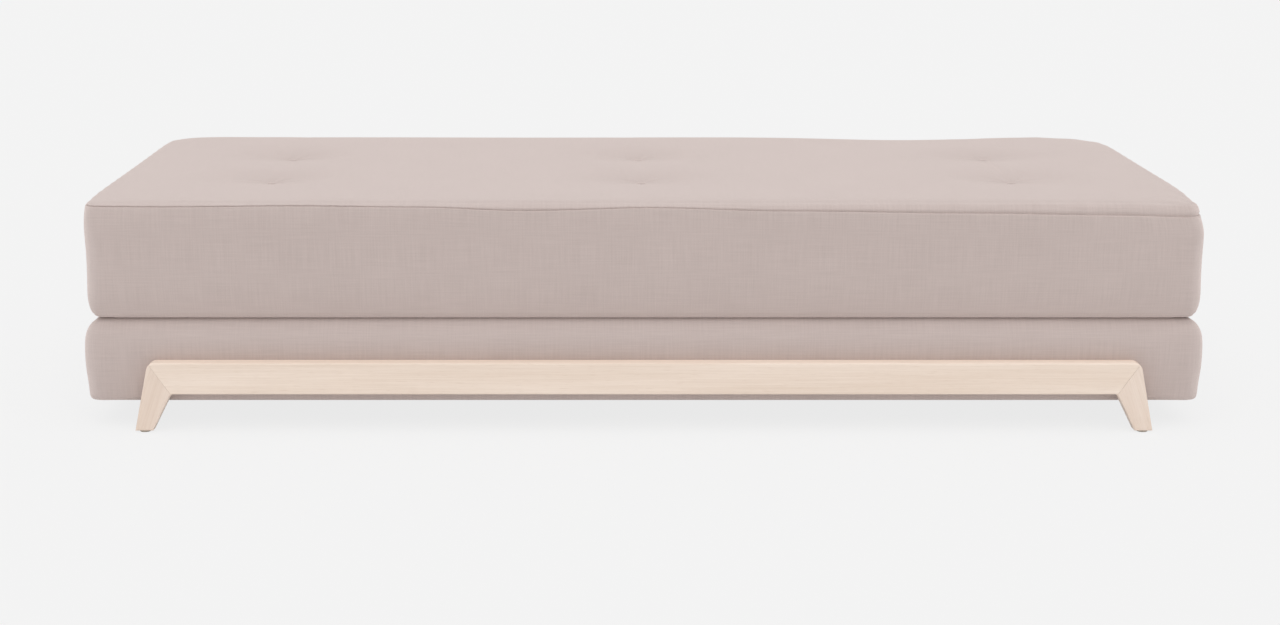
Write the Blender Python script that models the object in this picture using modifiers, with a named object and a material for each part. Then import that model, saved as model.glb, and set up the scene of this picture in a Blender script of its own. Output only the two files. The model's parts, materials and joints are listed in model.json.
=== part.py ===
"""Fold-out sofa bed.

An upholstered base stands on two wooden trestles. A tufted mattress lies on the base, held along the front
edge by a slack textile strap. It turns over onto the floor in front, about level with the base, as a double bed.

Metres, +Z up, +X along the length, front towards -Y, origin on the floor under the middle.
"""

import math
from dataclasses import dataclass, replace

import bmesh
import bpy
from mathutils import Matrix, Vector

# Gaps between pieces
CLEAR = 0.0003  # between pieces that touch
SLACK = 0.0005  # between a cover and its filling

# Outline shared by the base and the mattress
LENGTH = 2.000
DEPTH = 0.800
COVER_T = 0.0015

# Base, from the floor up
UNDERSIDE = 0.0517  # floor to the dust cover
DUST_T = 0.001
BOARD_H = 0.087
PAD_T = 0.0559

# Form of the base
BASE_PLAN_R = 0.028
BASE_TOP_ROUND = (0.026, 0.040)  # in from the side, down from the top
BASE_BOTTOM_ROUND = (0.003, 0.004)
BASE_BULGE_DROP = 0.045  # fullest line of the sides below the top
BASE_TAPER = 0.011  # how far the sides come in towards the underside
HEM_W = 0.036  # cover turned under, from the fullest outline
DUST_INSET = 0.022  # dust cover's edge in from the fullest outline

# Frame of the base
WRAP_MIN = 0.006  # thinnest wadding round the frame
BOARD_T = 0.022
BRACE_T = 0.022
BRACE_SPACING = 0.660
LEDGER = 0.020
BLOCK_LEG = 0.045
SLAT_COUNT = 7
SLAT_W = 0.120
SLAT_T = 0.012
SLAT_END_GAP = 0.050
EDGE_EASE = 0.0015  # planed edges of the frame's timber

# Trestles
RAIL_LIFT = 0.019  # rail's lower edge above the underside of the base
RAIL_H = 0.058
TRESTLE_T = 0.026
ROUNDOVER = 0.0025
FOOT_W = 0.032
FOOT_INSET = 0.0885  # foot's outer edge in from the end of the base
OUTER_LEAN = math.radians(12)
INNER_LEAN = math.radians(27)
SHOULDER_R = 0.016
CROTCH_R = 0.008
TENON_SIZE = (0.030, 0.008, 0.030)  # across the mitre, through the rail, along the mitre
TENON_EASE = 0.002

# Glides under the feet
GLIDE_R = 0.010
GLIDE_H = 0.003
GLIDE_CHAMFER = 0.0006
GLIDE_PIN_R = 0.0015
GLIDE_PIN_L = 0.012

# Bolts that hold the trestles to the base
BOLT_SPACING = 0.600
BOLT_SHANK_R = 0.004
BOLT_HEAD_R = 0.008
BOLT_HEAD_T = 0.004
BOLT_BITE = 0.018  # length inside the rail
BOLT_CHAMFER = 0.0008

# Hinge strap
STRAP_T = 0.001
STRAP_W = 0.075
STRAP_END_INSET = 0.050
HINGE_INSET = 0.015  # fold line in from the front of the base
FLOOR_GAP = 0.001  # under the mattress when it lies turned over

# Mattress
MATTRESS_T = 0.2074  # at its edges
MATTRESS_PLAN_R = 0.030
MATTRESS_TOP_ROUND = (0.018, 0.022)
MATTRESS_BOTTOM_ROUND = (0.022, 0.042)
TOP_SEAM_DROP = 0.0095
BOTTOM_SEAM_RISE = 0.010
CROWN = 0.005
CROWN_RUN = 0.120  # from the rounded edge to the full crown
DRAW_IN = 0.003

# Tufts
TUFT_COLUMNS = 3
TUFT_ROWS = 2
TUFT_PITCH_X = 0.700
TUFT_PITCH_Y = 0.266
TUFT_DEPTH = 0.014
TUFT_SPREAD = 0.055
TUFT_LINES = (0.045, 0.105)  # mesh lines each side of a tuft
BUTTON_R = 0.009
BUTTON_H = 0.0055
BUTTON_RIM_R = 0.008  # where the button's underside ends
BUTTON_DISH = 0.0011  # rise of the button's underside towards that rim
BUTTON_WAIST = 0.0025  # height of the widest line
TWINE_R = 0.0012
ANCHOR_R = 0.010
ANCHOR_T = 0.002

# Heights that follow
BASE_BOTTOM = UNDERSIDE + DUST_T + CLEAR
FRAME_BOTTOM = BASE_BOTTOM + COVER_T + CLEAR
FRAME_TOP = FRAME_BOTTOM + BOARD_H
SLAT_BOTTOM = FRAME_TOP - SLAT_T
LEDGER_TOP = SLAT_BOTTOM - CLEAR
LEDGER_BOTTOM = LEDGER_TOP - LEDGER
BRACE_TOP = LEDGER_BOTTOM - CLEAR
PAD_BOTTOM = FRAME_TOP + CLEAR
BASE_TOP = PAD_BOTTOM + PAD_T + SLACK + COVER_T
STRAP_BOTTOM = BASE_TOP + CLEAR
MATTRESS_BOTTOM = STRAP_BOTTOM + STRAP_T + CLEAR
MATTRESS_EDGE = MATTRESS_BOTTOM + MATTRESS_T
MATTRESS_TOP = MATTRESS_EDGE + CROWN
HINGE_Z = (MATTRESS_TOP + FLOOR_GAP) / 2
RAIL_BOTTOM = UNDERSIDE + RAIL_LIFT
RAIL_TOP = RAIL_BOTTOM + RAIL_H
FOOT_Z = GLIDE_H + CLEAR
BOLT_Z = (FRAME_BOTTOM + LEDGER_BOTTOM) / 2

# Places that follow
FILLING_INSET = COVER_T + SLACK
FRAME_INSET = FILLING_INSET + BASE_TAPER + WRAP_MIN + CLEAR
FRAME_HALF_X = LENGTH / 2 - FRAME_INSET
FRAME_HALF_Y = DEPTH / 2 - FRAME_INSET
INNER_HALF_X = FRAME_HALF_X - BOARD_T
INNER_HALF_Y = FRAME_HALF_Y - BOARD_T
HINGE_Y = -(DEPTH / 2 - HINGE_INSET)
SIDES = {"front": -1, "rear": 1}
ENDS = {"left": -1, "right": 1}

# Colours as sRGB values, with roughness and metallic
FINISHES = {
    "linen": ((208, 193, 188), 0.90, 0.0),
    "pale_wood": ((234, 215, 199), 0.45, 0.0),
    "frame_timber": ((205, 170, 125), 0.65, 0.0),
    "foam": ((238, 230, 205), 0.95, 0.0),
    "wadding": ((240, 240, 236), 0.95, 0.0),
    "underlining": ((46, 46, 48), 0.90, 0.0),
    "webbing": ((188, 174, 169), 0.90, 0.0),
    "twine": ((226, 216, 196), 0.85, 0.0),
    "felt": ((120, 114, 108), 0.95, 0.0),
    "zinc": ((190, 192, 194), 0.35, 1.0),
}

# Fineness of the meshes
TURN_STEPS = 16
ARC_STEPS = 5
ROUND_ANGLES = (30, 60)  # lines round a padded edge, in degrees
SIDE_SHARES = (0.25, 0.5, 0.75, 1)  # lines up the base's sides, from its underside to its fullest line
SHARP_ANGLE = math.radians(40)
MERGE = 1e-6
PIVOT_SIZE = 0.05


def linear(value):
    """One sRGB value from 0 to 255 as linear light."""
    share = value / 255
    return share / 12.92 if share <= 0.04045 else ((share + 0.055) / 1.055) ** 2.4


def make_finish(name):
    """A Principled material for one of the finishes."""
    colour, roughness, metallic = FINISHES[name]
    material = bpy.data.materials.new(name)
    material.use_nodes = True
    shader = material.node_tree.nodes["Principled BSDF"]
    shader.inputs["Base Color"].default_value = [linear(v) for v in colour] + [1]
    shader.inputs["Roughness"].default_value = roughness
    shader.inputs["Metallic"].default_value = metallic
    return material


class Workshop:
    """Holds the scene's collections, finishes and pivots, and adds pieces to them."""

    def __init__(self):
        for obj in list(bpy.data.objects):
            bpy.data.objects.remove(obj)
        self.parts = self.new_collection("sofa_bed")
        self.helpers = self.new_collection("sofa_bed_cutters")
        self.finishes = {name: make_finish(name) for name in FINISHES}
        self.pivots = {}

    def new_collection(self, name):
        collection = bpy.data.collections.new(name)
        bpy.context.scene.collection.children.link(collection)
        return collection

    def pivot(self, name, place, parent=None):
        """An empty that a moving group turns or slides on."""
        empty = bpy.data.objects.new(name, None)
        empty.empty_display_size = PIVOT_SIZE
        self.parts.objects.link(empty)
        empty.location = place
        self.pivots[name] = empty
        bpy.context.view_layer.update()
        if parent:
            self.attach(empty, parent)
        bpy.context.view_layer.update()

    def attach(self, obj, pivot_name):
        """Parents an object to a pivot and keeps its world place."""
        pivot = self.pivots[pivot_name]
        obj.parent = pivot
        obj.matrix_parent_inverse = pivot.matrix_world.inverted()

    def part(self, name, mesh, finish, pivot, place=(0, 0, 0), turn=(0, 0, 0)):
        """One named piece of the object."""
        obj = bpy.data.objects.new(name, mesh)
        self.parts.objects.link(obj)
        obj.location = place
        obj.rotation_euler = turn
        mesh.materials.append(self.finishes[finish])
        self.attach(obj, pivot)
        return obj

    def cutter(self, name, bm):
        """A helper that only cuts other pieces."""
        obj = bpy.data.objects.new(name, mesh_of(name, bm))
        self.helpers.objects.link(obj)
        obj.hide_render = True
        obj.display_type = "WIRE"
        return obj


def mesh_of(name, bm):
    """Turns a bmesh into a mesh and frees it."""
    mesh = bpy.data.meshes.new(name)
    bm.to_mesh(mesh)
    bm.free()
    mesh.shade_smooth()
    mesh.set_sharp_from_angle(angle=SHARP_ANGLE)
    return mesh


def cut(obj, *cutters):
    """Takes the cutters out of an object."""
    for cutter in cutters:
        boolean = obj.modifiers.new(cutter.name, "BOOLEAN")
        boolean.operation = "DIFFERENCE"
        boolean.object = cutter


def ease_edges(obj, width, segments=1):
    """Rounds the edges of a piece."""
    bevel = obj.modifiers.new("eased edges", "BEVEL")
    bevel.width = width
    bevel.segments = segments


def add_box(bm, size, place=(0, 0, 0), turn_y=0.0):
    """Adds a box to a bmesh, turned about Y."""
    scale = Matrix.Diagonal((*size, 1))
    matrix = Matrix.Translation(place) @ Matrix.Rotation(turn_y, 4, "Y") @ scale
    bmesh.ops.create_cube(bm, size=1, matrix=matrix)


def add_rod(bm, radius, start, end, steps=TURN_STEPS):
    """Adds a cylinder to a bmesh between two points."""
    start, end = Vector(start), Vector(end)
    along = end - start
    turn = along.to_track_quat("Z", "Y").to_matrix().to_4x4()
    matrix = Matrix.Translation((start + end) / 2) @ turn
    bmesh.ops.create_cone(
        bm,
        cap_ends=True,
        segments=steps,
        radius1=radius,
        radius2=radius,
        depth=along.length,
        matrix=matrix,
    )


def box_mesh(name, size):
    bm = bmesh.new()
    add_box(bm, size)
    return mesh_of(name, bm)


def turned_mesh(name, profile):
    """A profile of (radius, height) points, listed from the top down, as an edge chain."""
    bm = bmesh.new()
    points = [bm.verts.new((radius, 0, height)) for radius, height in profile]
    for first, second in zip(points, points[1:]):
        bm.edges.new((first, second))
    return mesh_of(name, bm)


def spin(obj, steps=TURN_STEPS):
    """Turns an object's profile about its own Z axis."""
    screw = obj.modifiers.new("turned", "SCREW")
    screw.steps = steps
    screw.render_steps = steps
    screw.use_merge_vertices = True
    screw.merge_threshold = MERGE
    screw.use_smooth_shade = True


def keep_side(bm, point, normal, fill):
    """Cuts a bmesh with a plane and keeps what lies against the normal."""
    geometry = bm.verts[:] + bm.edges[:] + bm.faces[:]
    bmesh.ops.bisect_plane(
        bm, geom=geometry, dist=MERGE, plane_co=point, plane_no=normal, clear_outer=True
    )
    if fill:
        rim = [edge for edge in bm.edges if edge.is_boundary]
        bmesh.ops.holes_fill(bm, edges=rim)


def rounded_outline(corners):
    """The points of a closed outline, from (x, height, radius) corners with a round at each radius."""
    points = []
    for index, (x, height, radius) in enumerate(corners):
        corner = Vector((x, height))
        if not radius:
            points.append(corner)
            continue
        before = (Vector(corners[index - 1][:2]) - corner).normalized()
        after = (Vector(corners[(index + 1) % len(corners)][:2]) - corner).normalized()
        half = before.angle(after) / 2
        centre = corner + (before + after).normalized() * (radius / math.sin(half))
        start = (corner + before * (radius / math.tan(half)) - centre).normalized()
        end = (corner + after * (radius / math.tan(half)) - centre).normalized()
        for step in range(ARC_STEPS + 1):
            points.append(centre + radius * start.slerp(end, step / ARC_STEPS))
    return points


@dataclass
class SoftForm:
    """A padded block with rounded edges, a crowned and tufted top, and sides drawn in between its corners."""

    length: float
    depth: float
    bottom: float
    top: float
    plan_radius: float
    top_round: tuple
    bottom_round: tuple
    bulge_z: float = 0.0
    taper: float = 0.0
    crown: float = 0.0
    draw_in: float = 0.0
    tufts: tuple = ()

    def shrunk(self, by):
        """The same form a little smaller all round."""
        return replace(
            self,
            length=self.length - 2 * by,
            depth=self.depth - 2 * by,
            bottom=self.bottom + by,
            top=self.top - by,
            plan_radius=self.plan_radius - by,
            top_round=tuple(size - by for size in self.top_round),
            bottom_round=tuple(max(size - by, by / 2) for size in self.bottom_round),
        )

    def side_inset(self, z):
        """How far the side lies in from the fullest outline at a height."""
        inset = 0.0
        if z < self.bulge_z:
            inset += self.taper * ((self.bulge_z - z) / (self.bulge_z - self.bottom)) ** 2
        for (across, up), reach in (
            (self.top_round, z - (self.top - self.top_round[1])),
            (self.bottom_round, self.bottom + self.bottom_round[1] - z),
        ):
            if reach > 0:
                inset += across * (1 - math.sqrt(max(0.0, 1 - (reach / up) ** 2)))
        return inset

    def rise(self, x, y):
        """Height of the top over its edge: the crown, less the tufts."""
        height = self.crown
        for reach, half in ((x, self.length / 2), (y, self.depth / 2)):
            inward = half - self.top_round[0] - abs(reach)
            share = min(1.0, max(0.0, inward / CROWN_RUN))
            height *= share * (2 - share)
        for tuft_x, tuft_y in self.tufts:
            away = (x - tuft_x) ** 2 + (y - tuft_y) ** 2
            height -= TUFT_DEPTH * math.exp(-away / (2 * TUFT_SPREAD**2))
        return height

    def heights(self):
        """Mesh lines up the sides."""
        lines = [self.bottom + self.bottom_round[1], self.top - self.top_round[1]]
        for angle in ROUND_ANGLES:
            drop = 1 - math.sin(math.radians(angle))
            lines.append(self.bottom + self.bottom_round[1] * drop)
            lines.append(self.top - self.top_round[1] * drop)
        return lines

    def edge_lines(self, half):
        """Mesh lines that round the corners in plan."""
        start = half - self.plan_radius
        return [sign * (start + self.plan_radius * share) for sign in (-1, 1) for share in (0, 0.5)]

    def placed(self, point):
        """Where a point of the plain block goes."""
        radius = self.plan_radius
        inset = self.side_inset(point.z)
        flat, share = [], []
        for value, half in ((point.x, self.length / 2), (point.y, self.depth / 2)):
            start = half - radius
            flat.append(min(abs(value), start))
            share.append(max(0.0, abs(value) - start) / radius)
        u, v = share
        along = u * math.sqrt(1 - v * v / 2) * (radius - inset)
        across = v * math.sqrt(1 - u * u / 2) * (radius - inset)
        near_x = abs(point.x) / (self.length / 2)
        near_y = abs(point.y) / (self.depth / 2)
        along -= self.draw_in * near_x**6 * (1 - near_y**2)
        across -= self.draw_in * near_y**6 * (1 - near_x**2)
        x = math.copysign(flat[0] + along, point.x)
        y = math.copysign(flat[1] + across, point.y)
        on_top = point.z > self.top - MERGE
        return Vector((x, y, point.z + (self.rise(x, y) if on_top else 0.0)))

    def solid(self, lines_x=(), lines_y=(), lines_z=()):
        """The closed form as a bmesh, divided along the given lines."""
        bm = bmesh.new()
        size = (self.length, self.depth, self.top - self.bottom)
        add_box(bm, size, (0, 0, (self.top + self.bottom) / 2))
        cuts = (
            ((1, 0, 0), (*self.edge_lines(self.length / 2), *lines_x)),
            ((0, 1, 0), (*self.edge_lines(self.depth / 2), *lines_y)),
            ((0, 0, 1), (*self.heights(), *lines_z)),
        )
        for normal, lines in cuts:
            for line in lines:
                geometry = bm.verts[:] + bm.edges[:] + bm.faces[:]
                place = Vector(normal) * line
                bmesh.ops.bisect_plane(
                    bm, geom=geometry, dist=MERGE, plane_co=place, plane_no=normal
                )
        lid = [face for face in bm.faces if face.calc_center_median().z > self.top - MERGE]
        bmesh.ops.triangulate(bm, faces=lid, quad_method="FIXED")  # a cover folds where its filling does
        for vertex in bm.verts:
            vertex.co = self.placed(vertex.co)
        return bm


def tuft_places():
    """The (x, y) places of the tufts, row by row."""
    columns = [(i - (TUFT_COLUMNS - 1) / 2) * TUFT_PITCH_X for i in range(TUFT_COLUMNS)]
    rows = [(i - (TUFT_ROWS - 1) / 2) * TUFT_PITCH_Y for i in range(TUFT_ROWS)]
    return tuple((x, y) for y in rows for x in columns)


def top_lines(axis):
    """Mesh lines of the mattress's top, along X (0) or Y (1): through and beside the tufts, and up the crown."""
    centres = sorted({place[axis] for place in tuft_places()})
    offsets = sorted({sign * away for sign in (-1, 1) for away in (0, *TUFT_LINES)})
    lines = [centre + away for centre in centres for away in offsets]
    halfway = (LENGTH, DEPTH)[axis] / 2 - MATTRESS_TOP_ROUND[0] - CROWN_RUN / 2
    return [*lines, -halfway, halfway]


BASE_FORM = SoftForm(
    length=LENGTH,
    depth=DEPTH,
    bottom=BASE_BOTTOM,
    top=BASE_TOP,
    plan_radius=BASE_PLAN_R,
    top_round=BASE_TOP_ROUND,
    bottom_round=BASE_BOTTOM_ROUND,
    bulge_z=BASE_TOP - BASE_BULGE_DROP,
    taper=BASE_TAPER,
)
MATTRESS_FORM = SoftForm(
    length=LENGTH,
    depth=DEPTH,
    bottom=MATTRESS_BOTTOM,
    top=MATTRESS_EDGE,
    plan_radius=MATTRESS_PLAN_R,
    top_round=MATTRESS_TOP_ROUND,
    bottom_round=MATTRESS_BOTTOM_ROUND,
    crown=CROWN,
    draw_in=DRAW_IN,
    tufts=tuft_places(),
)
RAIL_BACK = DEPTH / 2 - BASE_FORM.side_inset(RAIL_TOP) + CLEAR
TRESTLE_Y = RAIL_BACK + TRESTLE_T / 2


def sheet(shop, name, bm, finish, pivot):
    """A cover panel: an open surface given the cloth's thickness on its inner side."""
    obj = shop.part(name, mesh_of(name, bm), finish, pivot)
    solidify = obj.modifiers.new("cloth", "SOLIDIFY")
    solidify.thickness = COVER_T
    solidify.offset = -1
    solidify.use_even_offset = True
    return obj


def between(bm, low=None, high=None, fill=False):
    """Keeps the part of a form between two heights."""
    if low is not None:
        keep_side(bm, (0, 0, low), (0, 0, -1), fill)
    if high is not None:
        keep_side(bm, (0, 0, high), (0, 0, 1), fill)
    return bm


def leg_edges():
    """The leg's outer and inner edges as functions of height, on the right."""
    foot_outer = LENGTH / 2 - FOOT_INSET
    foot_inner = foot_outer - FOOT_W

    def outer(z):
        return foot_outer - (z - FOOT_Z) * math.tan(OUTER_LEAN)

    def inner(z):
        return foot_inner - (z - FOOT_Z) * math.tan(INNER_LEAN)

    return outer, inner


def mitre():
    """The right-hand mitre as its middle and its outward direction, in X and Z."""
    outer, inner = leg_edges()
    low = Vector((inner(RAIL_BOTTOM), RAIL_BOTTOM))
    high = Vector((outer(RAIL_TOP), RAIL_TOP))
    along = (high - low).normalized()
    return (low + high) / 2, Vector((along.y, -along.x))


def trestle_bmesh():
    """Rail and two legs as one rounded board, standing in the XZ plane."""
    outer, inner = leg_edges()
    right = [
        (outer(RAIL_TOP), RAIL_TOP, SHOULDER_R),
        (outer(FOOT_Z), FOOT_Z, 0),
        (inner(FOOT_Z), FOOT_Z, 0),
        (inner(RAIL_BOTTOM), RAIL_BOTTOM, CROTCH_R),
    ]
    left = [(-x, height, radius) for x, height, radius in reversed(right)]
    curve = bpy.data.curves.new("trestle_outline", "CURVE")
    curve.dimensions = "2D"
    curve.fill_mode = "BOTH"
    curve.extrude = TRESTLE_T / 2 - ROUNDOVER
    curve.bevel_depth = ROUNDOVER
    curve.bevel_resolution = 1
    curve.offset = -ROUNDOVER
    points = rounded_outline(right + left)
    spline = curve.splines.new("POLY")
    spline.points.add(len(points) - 1)
    for point, place in zip(spline.points, points):
        point.co = (place.x, place.y, 0, 1)
    spline.use_cyclic_u = True
    guide = bpy.data.objects.new("trestle_outline", curve)
    bpy.context.scene.collection.objects.link(guide)
    graph = bpy.context.evaluated_depsgraph_get()
    mesh = bpy.data.meshes.new_from_object(guide.evaluated_get(graph))
    bpy.data.objects.remove(guide)
    bm = bmesh.new()
    bm.from_mesh(mesh)
    bpy.data.meshes.remove(mesh)
    bmesh.ops.remove_doubles(bm, verts=bm.verts, dist=MERGE)
    bmesh.ops.rotate(bm, verts=bm.verts, matrix=Matrix.Rotation(math.pi / 2, 3, "X"))
    return bm


def mitred(end=None):
    """The rail between the mitres, or the leg beyond the mitre at one end."""
    middle, outward = mitre()
    bm = trestle_bmesh()
    for sign in ENDS.values():
        if end not in (None, sign):
            continue
        normal = Vector((sign * outward.x, 0, outward.y))
        point = Vector((sign * middle.x, 0, middle.y))
        if end is None:
            keep_side(bm, point - normal * CLEAR / 2, normal, fill=True)
        else:
            keep_side(bm, point + normal * CLEAR / 2, -normal, fill=True)
    return bm


def build_trestles(shop):
    """Front and rear trestles: rail, legs, loose tenons, glides and bolts."""
    outer, inner = leg_edges()
    foot_x = (outer(FOOT_Z) + inner(FOOT_Z)) / 2
    middle, outward = mitre()
    lean = math.atan2(-outward.y, outward.x)
    mortise = tuple(size + 2 * CLEAR for size in TENON_SIZE)
    bolt_cutters = {}
    for side, front_back in SIDES.items():
        y = front_back * TRESTLE_Y
        mortises, pin_holes, bolt_holes = bmesh.new(), bmesh.new(), bmesh.new()
        for end, sign in ENDS.items():
            place = (sign * middle.x, y, middle.y)
            add_box(mortises, mortise, place, sign * lean)
            top = GLIDE_H + GLIDE_PIN_L + CLEAR
            add_rod(pin_holes, GLIDE_PIN_R + CLEAR, (sign * foot_x, y, 0), (sign * foot_x, y, top))
            name = f"{side}_{end}_tenon"
            tenon = shop.part(
                name,
                box_mesh(name, TENON_SIZE),
                "frame_timber",
                "base_origin",
                place,
                (0, sign * lean, 0),
            )
            ease_edges(tenon, TENON_EASE, 2)
            build_glide(shop, f"{side}_{end}_glide", (sign * foot_x, y, 0))
        for x in bolt_columns():
            start = front_back * (INNER_HALF_Y - BOLT_HEAD_T)
            stop = front_back * (RAIL_BACK + BOLT_BITE + CLEAR)
            add_rod(bolt_holes, BOLT_SHANK_R + CLEAR, (x, start, BOLT_Z), (x, stop, BOLT_Z))
        mortise_cutter = shop.cutter(f"{side}_mortises", mortises)
        pin_cutter = shop.cutter(f"{side}_glide_pin_holes", pin_holes)
        bolt_cutters[side] = shop.cutter(f"{side}_bolt_holes", bolt_holes)
        rail_name = f"{side}_rail"
        rail = shop.part(
            rail_name, mesh_of(rail_name, mitred()), "pale_wood", "base_origin", (0, y, 0)
        )
        cut(rail, mortise_cutter, bolt_cutters[side])
        for end, sign in ENDS.items():
            name = f"{side}_{end}_leg"
            leg = shop.part(
                name, mesh_of(name, mitred(sign)), "pale_wood", "base_origin", (0, y, 0)
            )
            cut(leg, mortise_cutter, pin_cutter)
        for number, x in enumerate(bolt_columns(), 1):
            build_bolt(shop, f"{side}_rail_bolt_{number}", x, front_back)
    return bolt_cutters


def bolt_columns():
    return (-BOLT_SPACING, 0.0, BOLT_SPACING)


def build_glide(shop, name, place):
    """A felt-faced disc with its nail."""
    profile = [
        (0, GLIDE_H + GLIDE_PIN_L),
        (GLIDE_PIN_R, GLIDE_H + GLIDE_PIN_L),
        (GLIDE_PIN_R, GLIDE_H),
        (GLIDE_R, GLIDE_H),
        (GLIDE_R, GLIDE_CHAMFER),
        (GLIDE_R - GLIDE_CHAMFER, 0),
        (0, 0),
    ]
    spin(shop.part(name, turned_mesh(name, profile), "felt", "base_origin", place))


def build_bolt(shop, name, x, front_back):
    """A flat-headed bolt from inside the base frame into the rail."""
    under_head = INNER_HALF_Y - CLEAR
    length = RAIL_BACK + BOLT_BITE - under_head
    profile = [
        (0, BOLT_HEAD_T),
        (BOLT_HEAD_R - BOLT_CHAMFER, BOLT_HEAD_T),
        (BOLT_HEAD_R, BOLT_HEAD_T - BOLT_CHAMFER),
        (BOLT_HEAD_R, 0),
        (BOLT_SHANK_R, 0),
        (BOLT_SHANK_R, BOLT_CHAMFER - length),
        (BOLT_SHANK_R - BOLT_CHAMFER, -length),
        (0, -length),
    ]
    place = (x, front_back * under_head, BOLT_Z)
    turn = (front_back * math.pi / 2, 0, 0)
    spin(shop.part(name, turned_mesh(name, profile), "zinc", "base_origin", place, turn))


def build_timber(shop, name, size, place):
    """One sawn board of the base frame."""
    obj = shop.part(name, box_mesh(name, size), "frame_timber", "base_origin", place)
    ease_edges(obj, EDGE_EASE)
    return obj


def build_frame(shop, bolt_cutters):
    """Boards, braces, ledgers, corner blocks and slats."""
    board_z = (FRAME_BOTTOM + FRAME_TOP) / 2
    brace_z = (FRAME_BOTTOM + BRACE_TOP) / 2
    ledger_z = (LEDGER_BOTTOM + LEDGER_TOP) / 2
    for side, sign in SIDES.items():
        size = (2 * FRAME_HALF_X, BOARD_T, BOARD_H)
        place = (0, sign * (FRAME_HALF_Y - BOARD_T / 2), board_z)
        cut(build_timber(shop, f"{side}_board", size, place), bolt_cutters[side])
        size = (2 * (INNER_HALF_X - CLEAR), LEDGER, LEDGER)
        place = (0, sign * (INNER_HALF_Y - CLEAR - LEDGER / 2), ledger_z)
        build_timber(shop, f"{side}_ledger", size, place)
    for end, sign in ENDS.items():
        size = (BOARD_T, 2 * (INNER_HALF_Y - CLEAR), BOARD_H)
        place = (sign * (FRAME_HALF_X - BOARD_T / 2), 0, board_z)
        build_timber(shop, f"{end}_board", size, place)
        size = (BRACE_T, 2 * (INNER_HALF_Y - CLEAR), BRACE_TOP - FRAME_BOTTOM)
        build_timber(shop, f"{end}_brace", size, (sign * BRACE_SPACING / 2, 0, brace_z))
    for side, front_back in SIDES.items():
        for end, sign in ENDS.items():
            build_corner_block(shop, f"{side}_{end}_corner_block", sign, front_back)
    span = 2 * (INNER_HALF_X - SLAT_END_GAP) - SLAT_W
    size = (SLAT_W, 2 * (INNER_HALF_Y - CLEAR), SLAT_T)
    for number in range(SLAT_COUNT):
        x = span * (number / (SLAT_COUNT - 1) - 0.5)
        build_timber(shop, f"slat_{number + 1}", size, (x, 0, SLAT_BOTTOM + SLAT_T / 2))


def build_corner_block(shop, name, sign, front_back):
    """A three-cornered block glued into a corner of the frame."""
    corner_x = sign * (INNER_HALF_X - CLEAR)
    corner_y = front_back * (INNER_HALF_Y - CLEAR)
    height = BRACE_TOP - FRAME_BOTTOM
    bm = bmesh.new()
    add_box(bm, (BLOCK_LEG, BLOCK_LEG, height))
    keep_side(bm, (0, 0, 0), (-sign, -front_back, 0), fill=True)
    place = (
        corner_x - sign * BLOCK_LEG / 2,
        corner_y - front_back * BLOCK_LEG / 2,
        FRAME_BOTTOM + height / 2,
    )
    block = shop.part(name, mesh_of(name, bm), "frame_timber", "base_origin", place)
    ease_edges(block, EDGE_EASE)


def build_base_upholstery(shop, bolt_cutters):
    """Pad, wadding, cover and dust cover of the base."""
    filling = BASE_FORM.shrunk(FILLING_INSET)
    bulge_rise = BASE_FORM.bulge_z - BASE_BOTTOM
    side_lines = [BASE_BOTTOM + bulge_rise * share for share in SIDE_SHARES]
    name = "base_pad"
    pad = between(filling.solid(), low=PAD_BOTTOM, fill=True)
    shop.part(name, mesh_of(name, pad), "foam", "base_origin")

    frame = bmesh.new()
    size = (2 * (FRAME_HALF_X + CLEAR), 2 * (FRAME_HALF_Y + CLEAR), 2 * BOARD_H)
    add_box(frame, size, (0, 0, (FRAME_BOTTOM + FRAME_TOP) / 2))
    frame_cutter = shop.cutter("frame_space", frame)
    name = "base_wrap"
    wrap = between(filling.solid(lines_z=side_lines), high=FRAME_TOP, fill=True)
    wrap_obj = shop.part(name, mesh_of(name, wrap), "wadding", "base_origin")
    cut(wrap_obj, frame_cutter, *bolt_cutters.values())

    hem_x = LENGTH / 2 - HEM_W
    hem_y = DEPTH / 2 - HEM_W
    skin = BASE_FORM.solid((-hem_x, hem_x), (-hem_y, hem_y), side_lines)
    inside = [
        face
        for face in skin.faces
        if abs(face.calc_center_median().x) < hem_x
        and abs(face.calc_center_median().y) < hem_y
        and face.normal.z < 0
        and face.calc_center_median().z < BASE_BOTTOM + MERGE
    ]
    bmesh.ops.delete(skin, geom=inside, context="FACES")
    cut(sheet(shop, "base_cover", skin, "linen", "base_origin"), *bolt_cutters.values())

    name = "dust_cover"
    size = (LENGTH - 2 * DUST_INSET, DEPTH - 2 * DUST_INSET, DUST_T)
    place = (0, 0, UNDERSIDE + DUST_T / 2)
    shop.part(name, box_mesh(name, size), "underlining", "base_origin", place)


def build_strap(shop):
    """The textile strap that hinges the mattress to the base, up against the mattress turned over."""
    name = "hinge_strap"
    edge_inset = MATTRESS_FORM.side_inset(2 * HINGE_Z - STRAP_BOTTOM)
    front = HINGE_Y + HINGE_INSET - edge_inset + CLEAR
    size = (LENGTH - 2 * STRAP_END_INSET, STRAP_W, STRAP_T)
    place = (0, front + STRAP_W / 2, STRAP_BOTTOM + STRAP_T / 2)
    shop.part(name, box_mesh(name, size), "webbing", "strap_slide", place)


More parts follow.
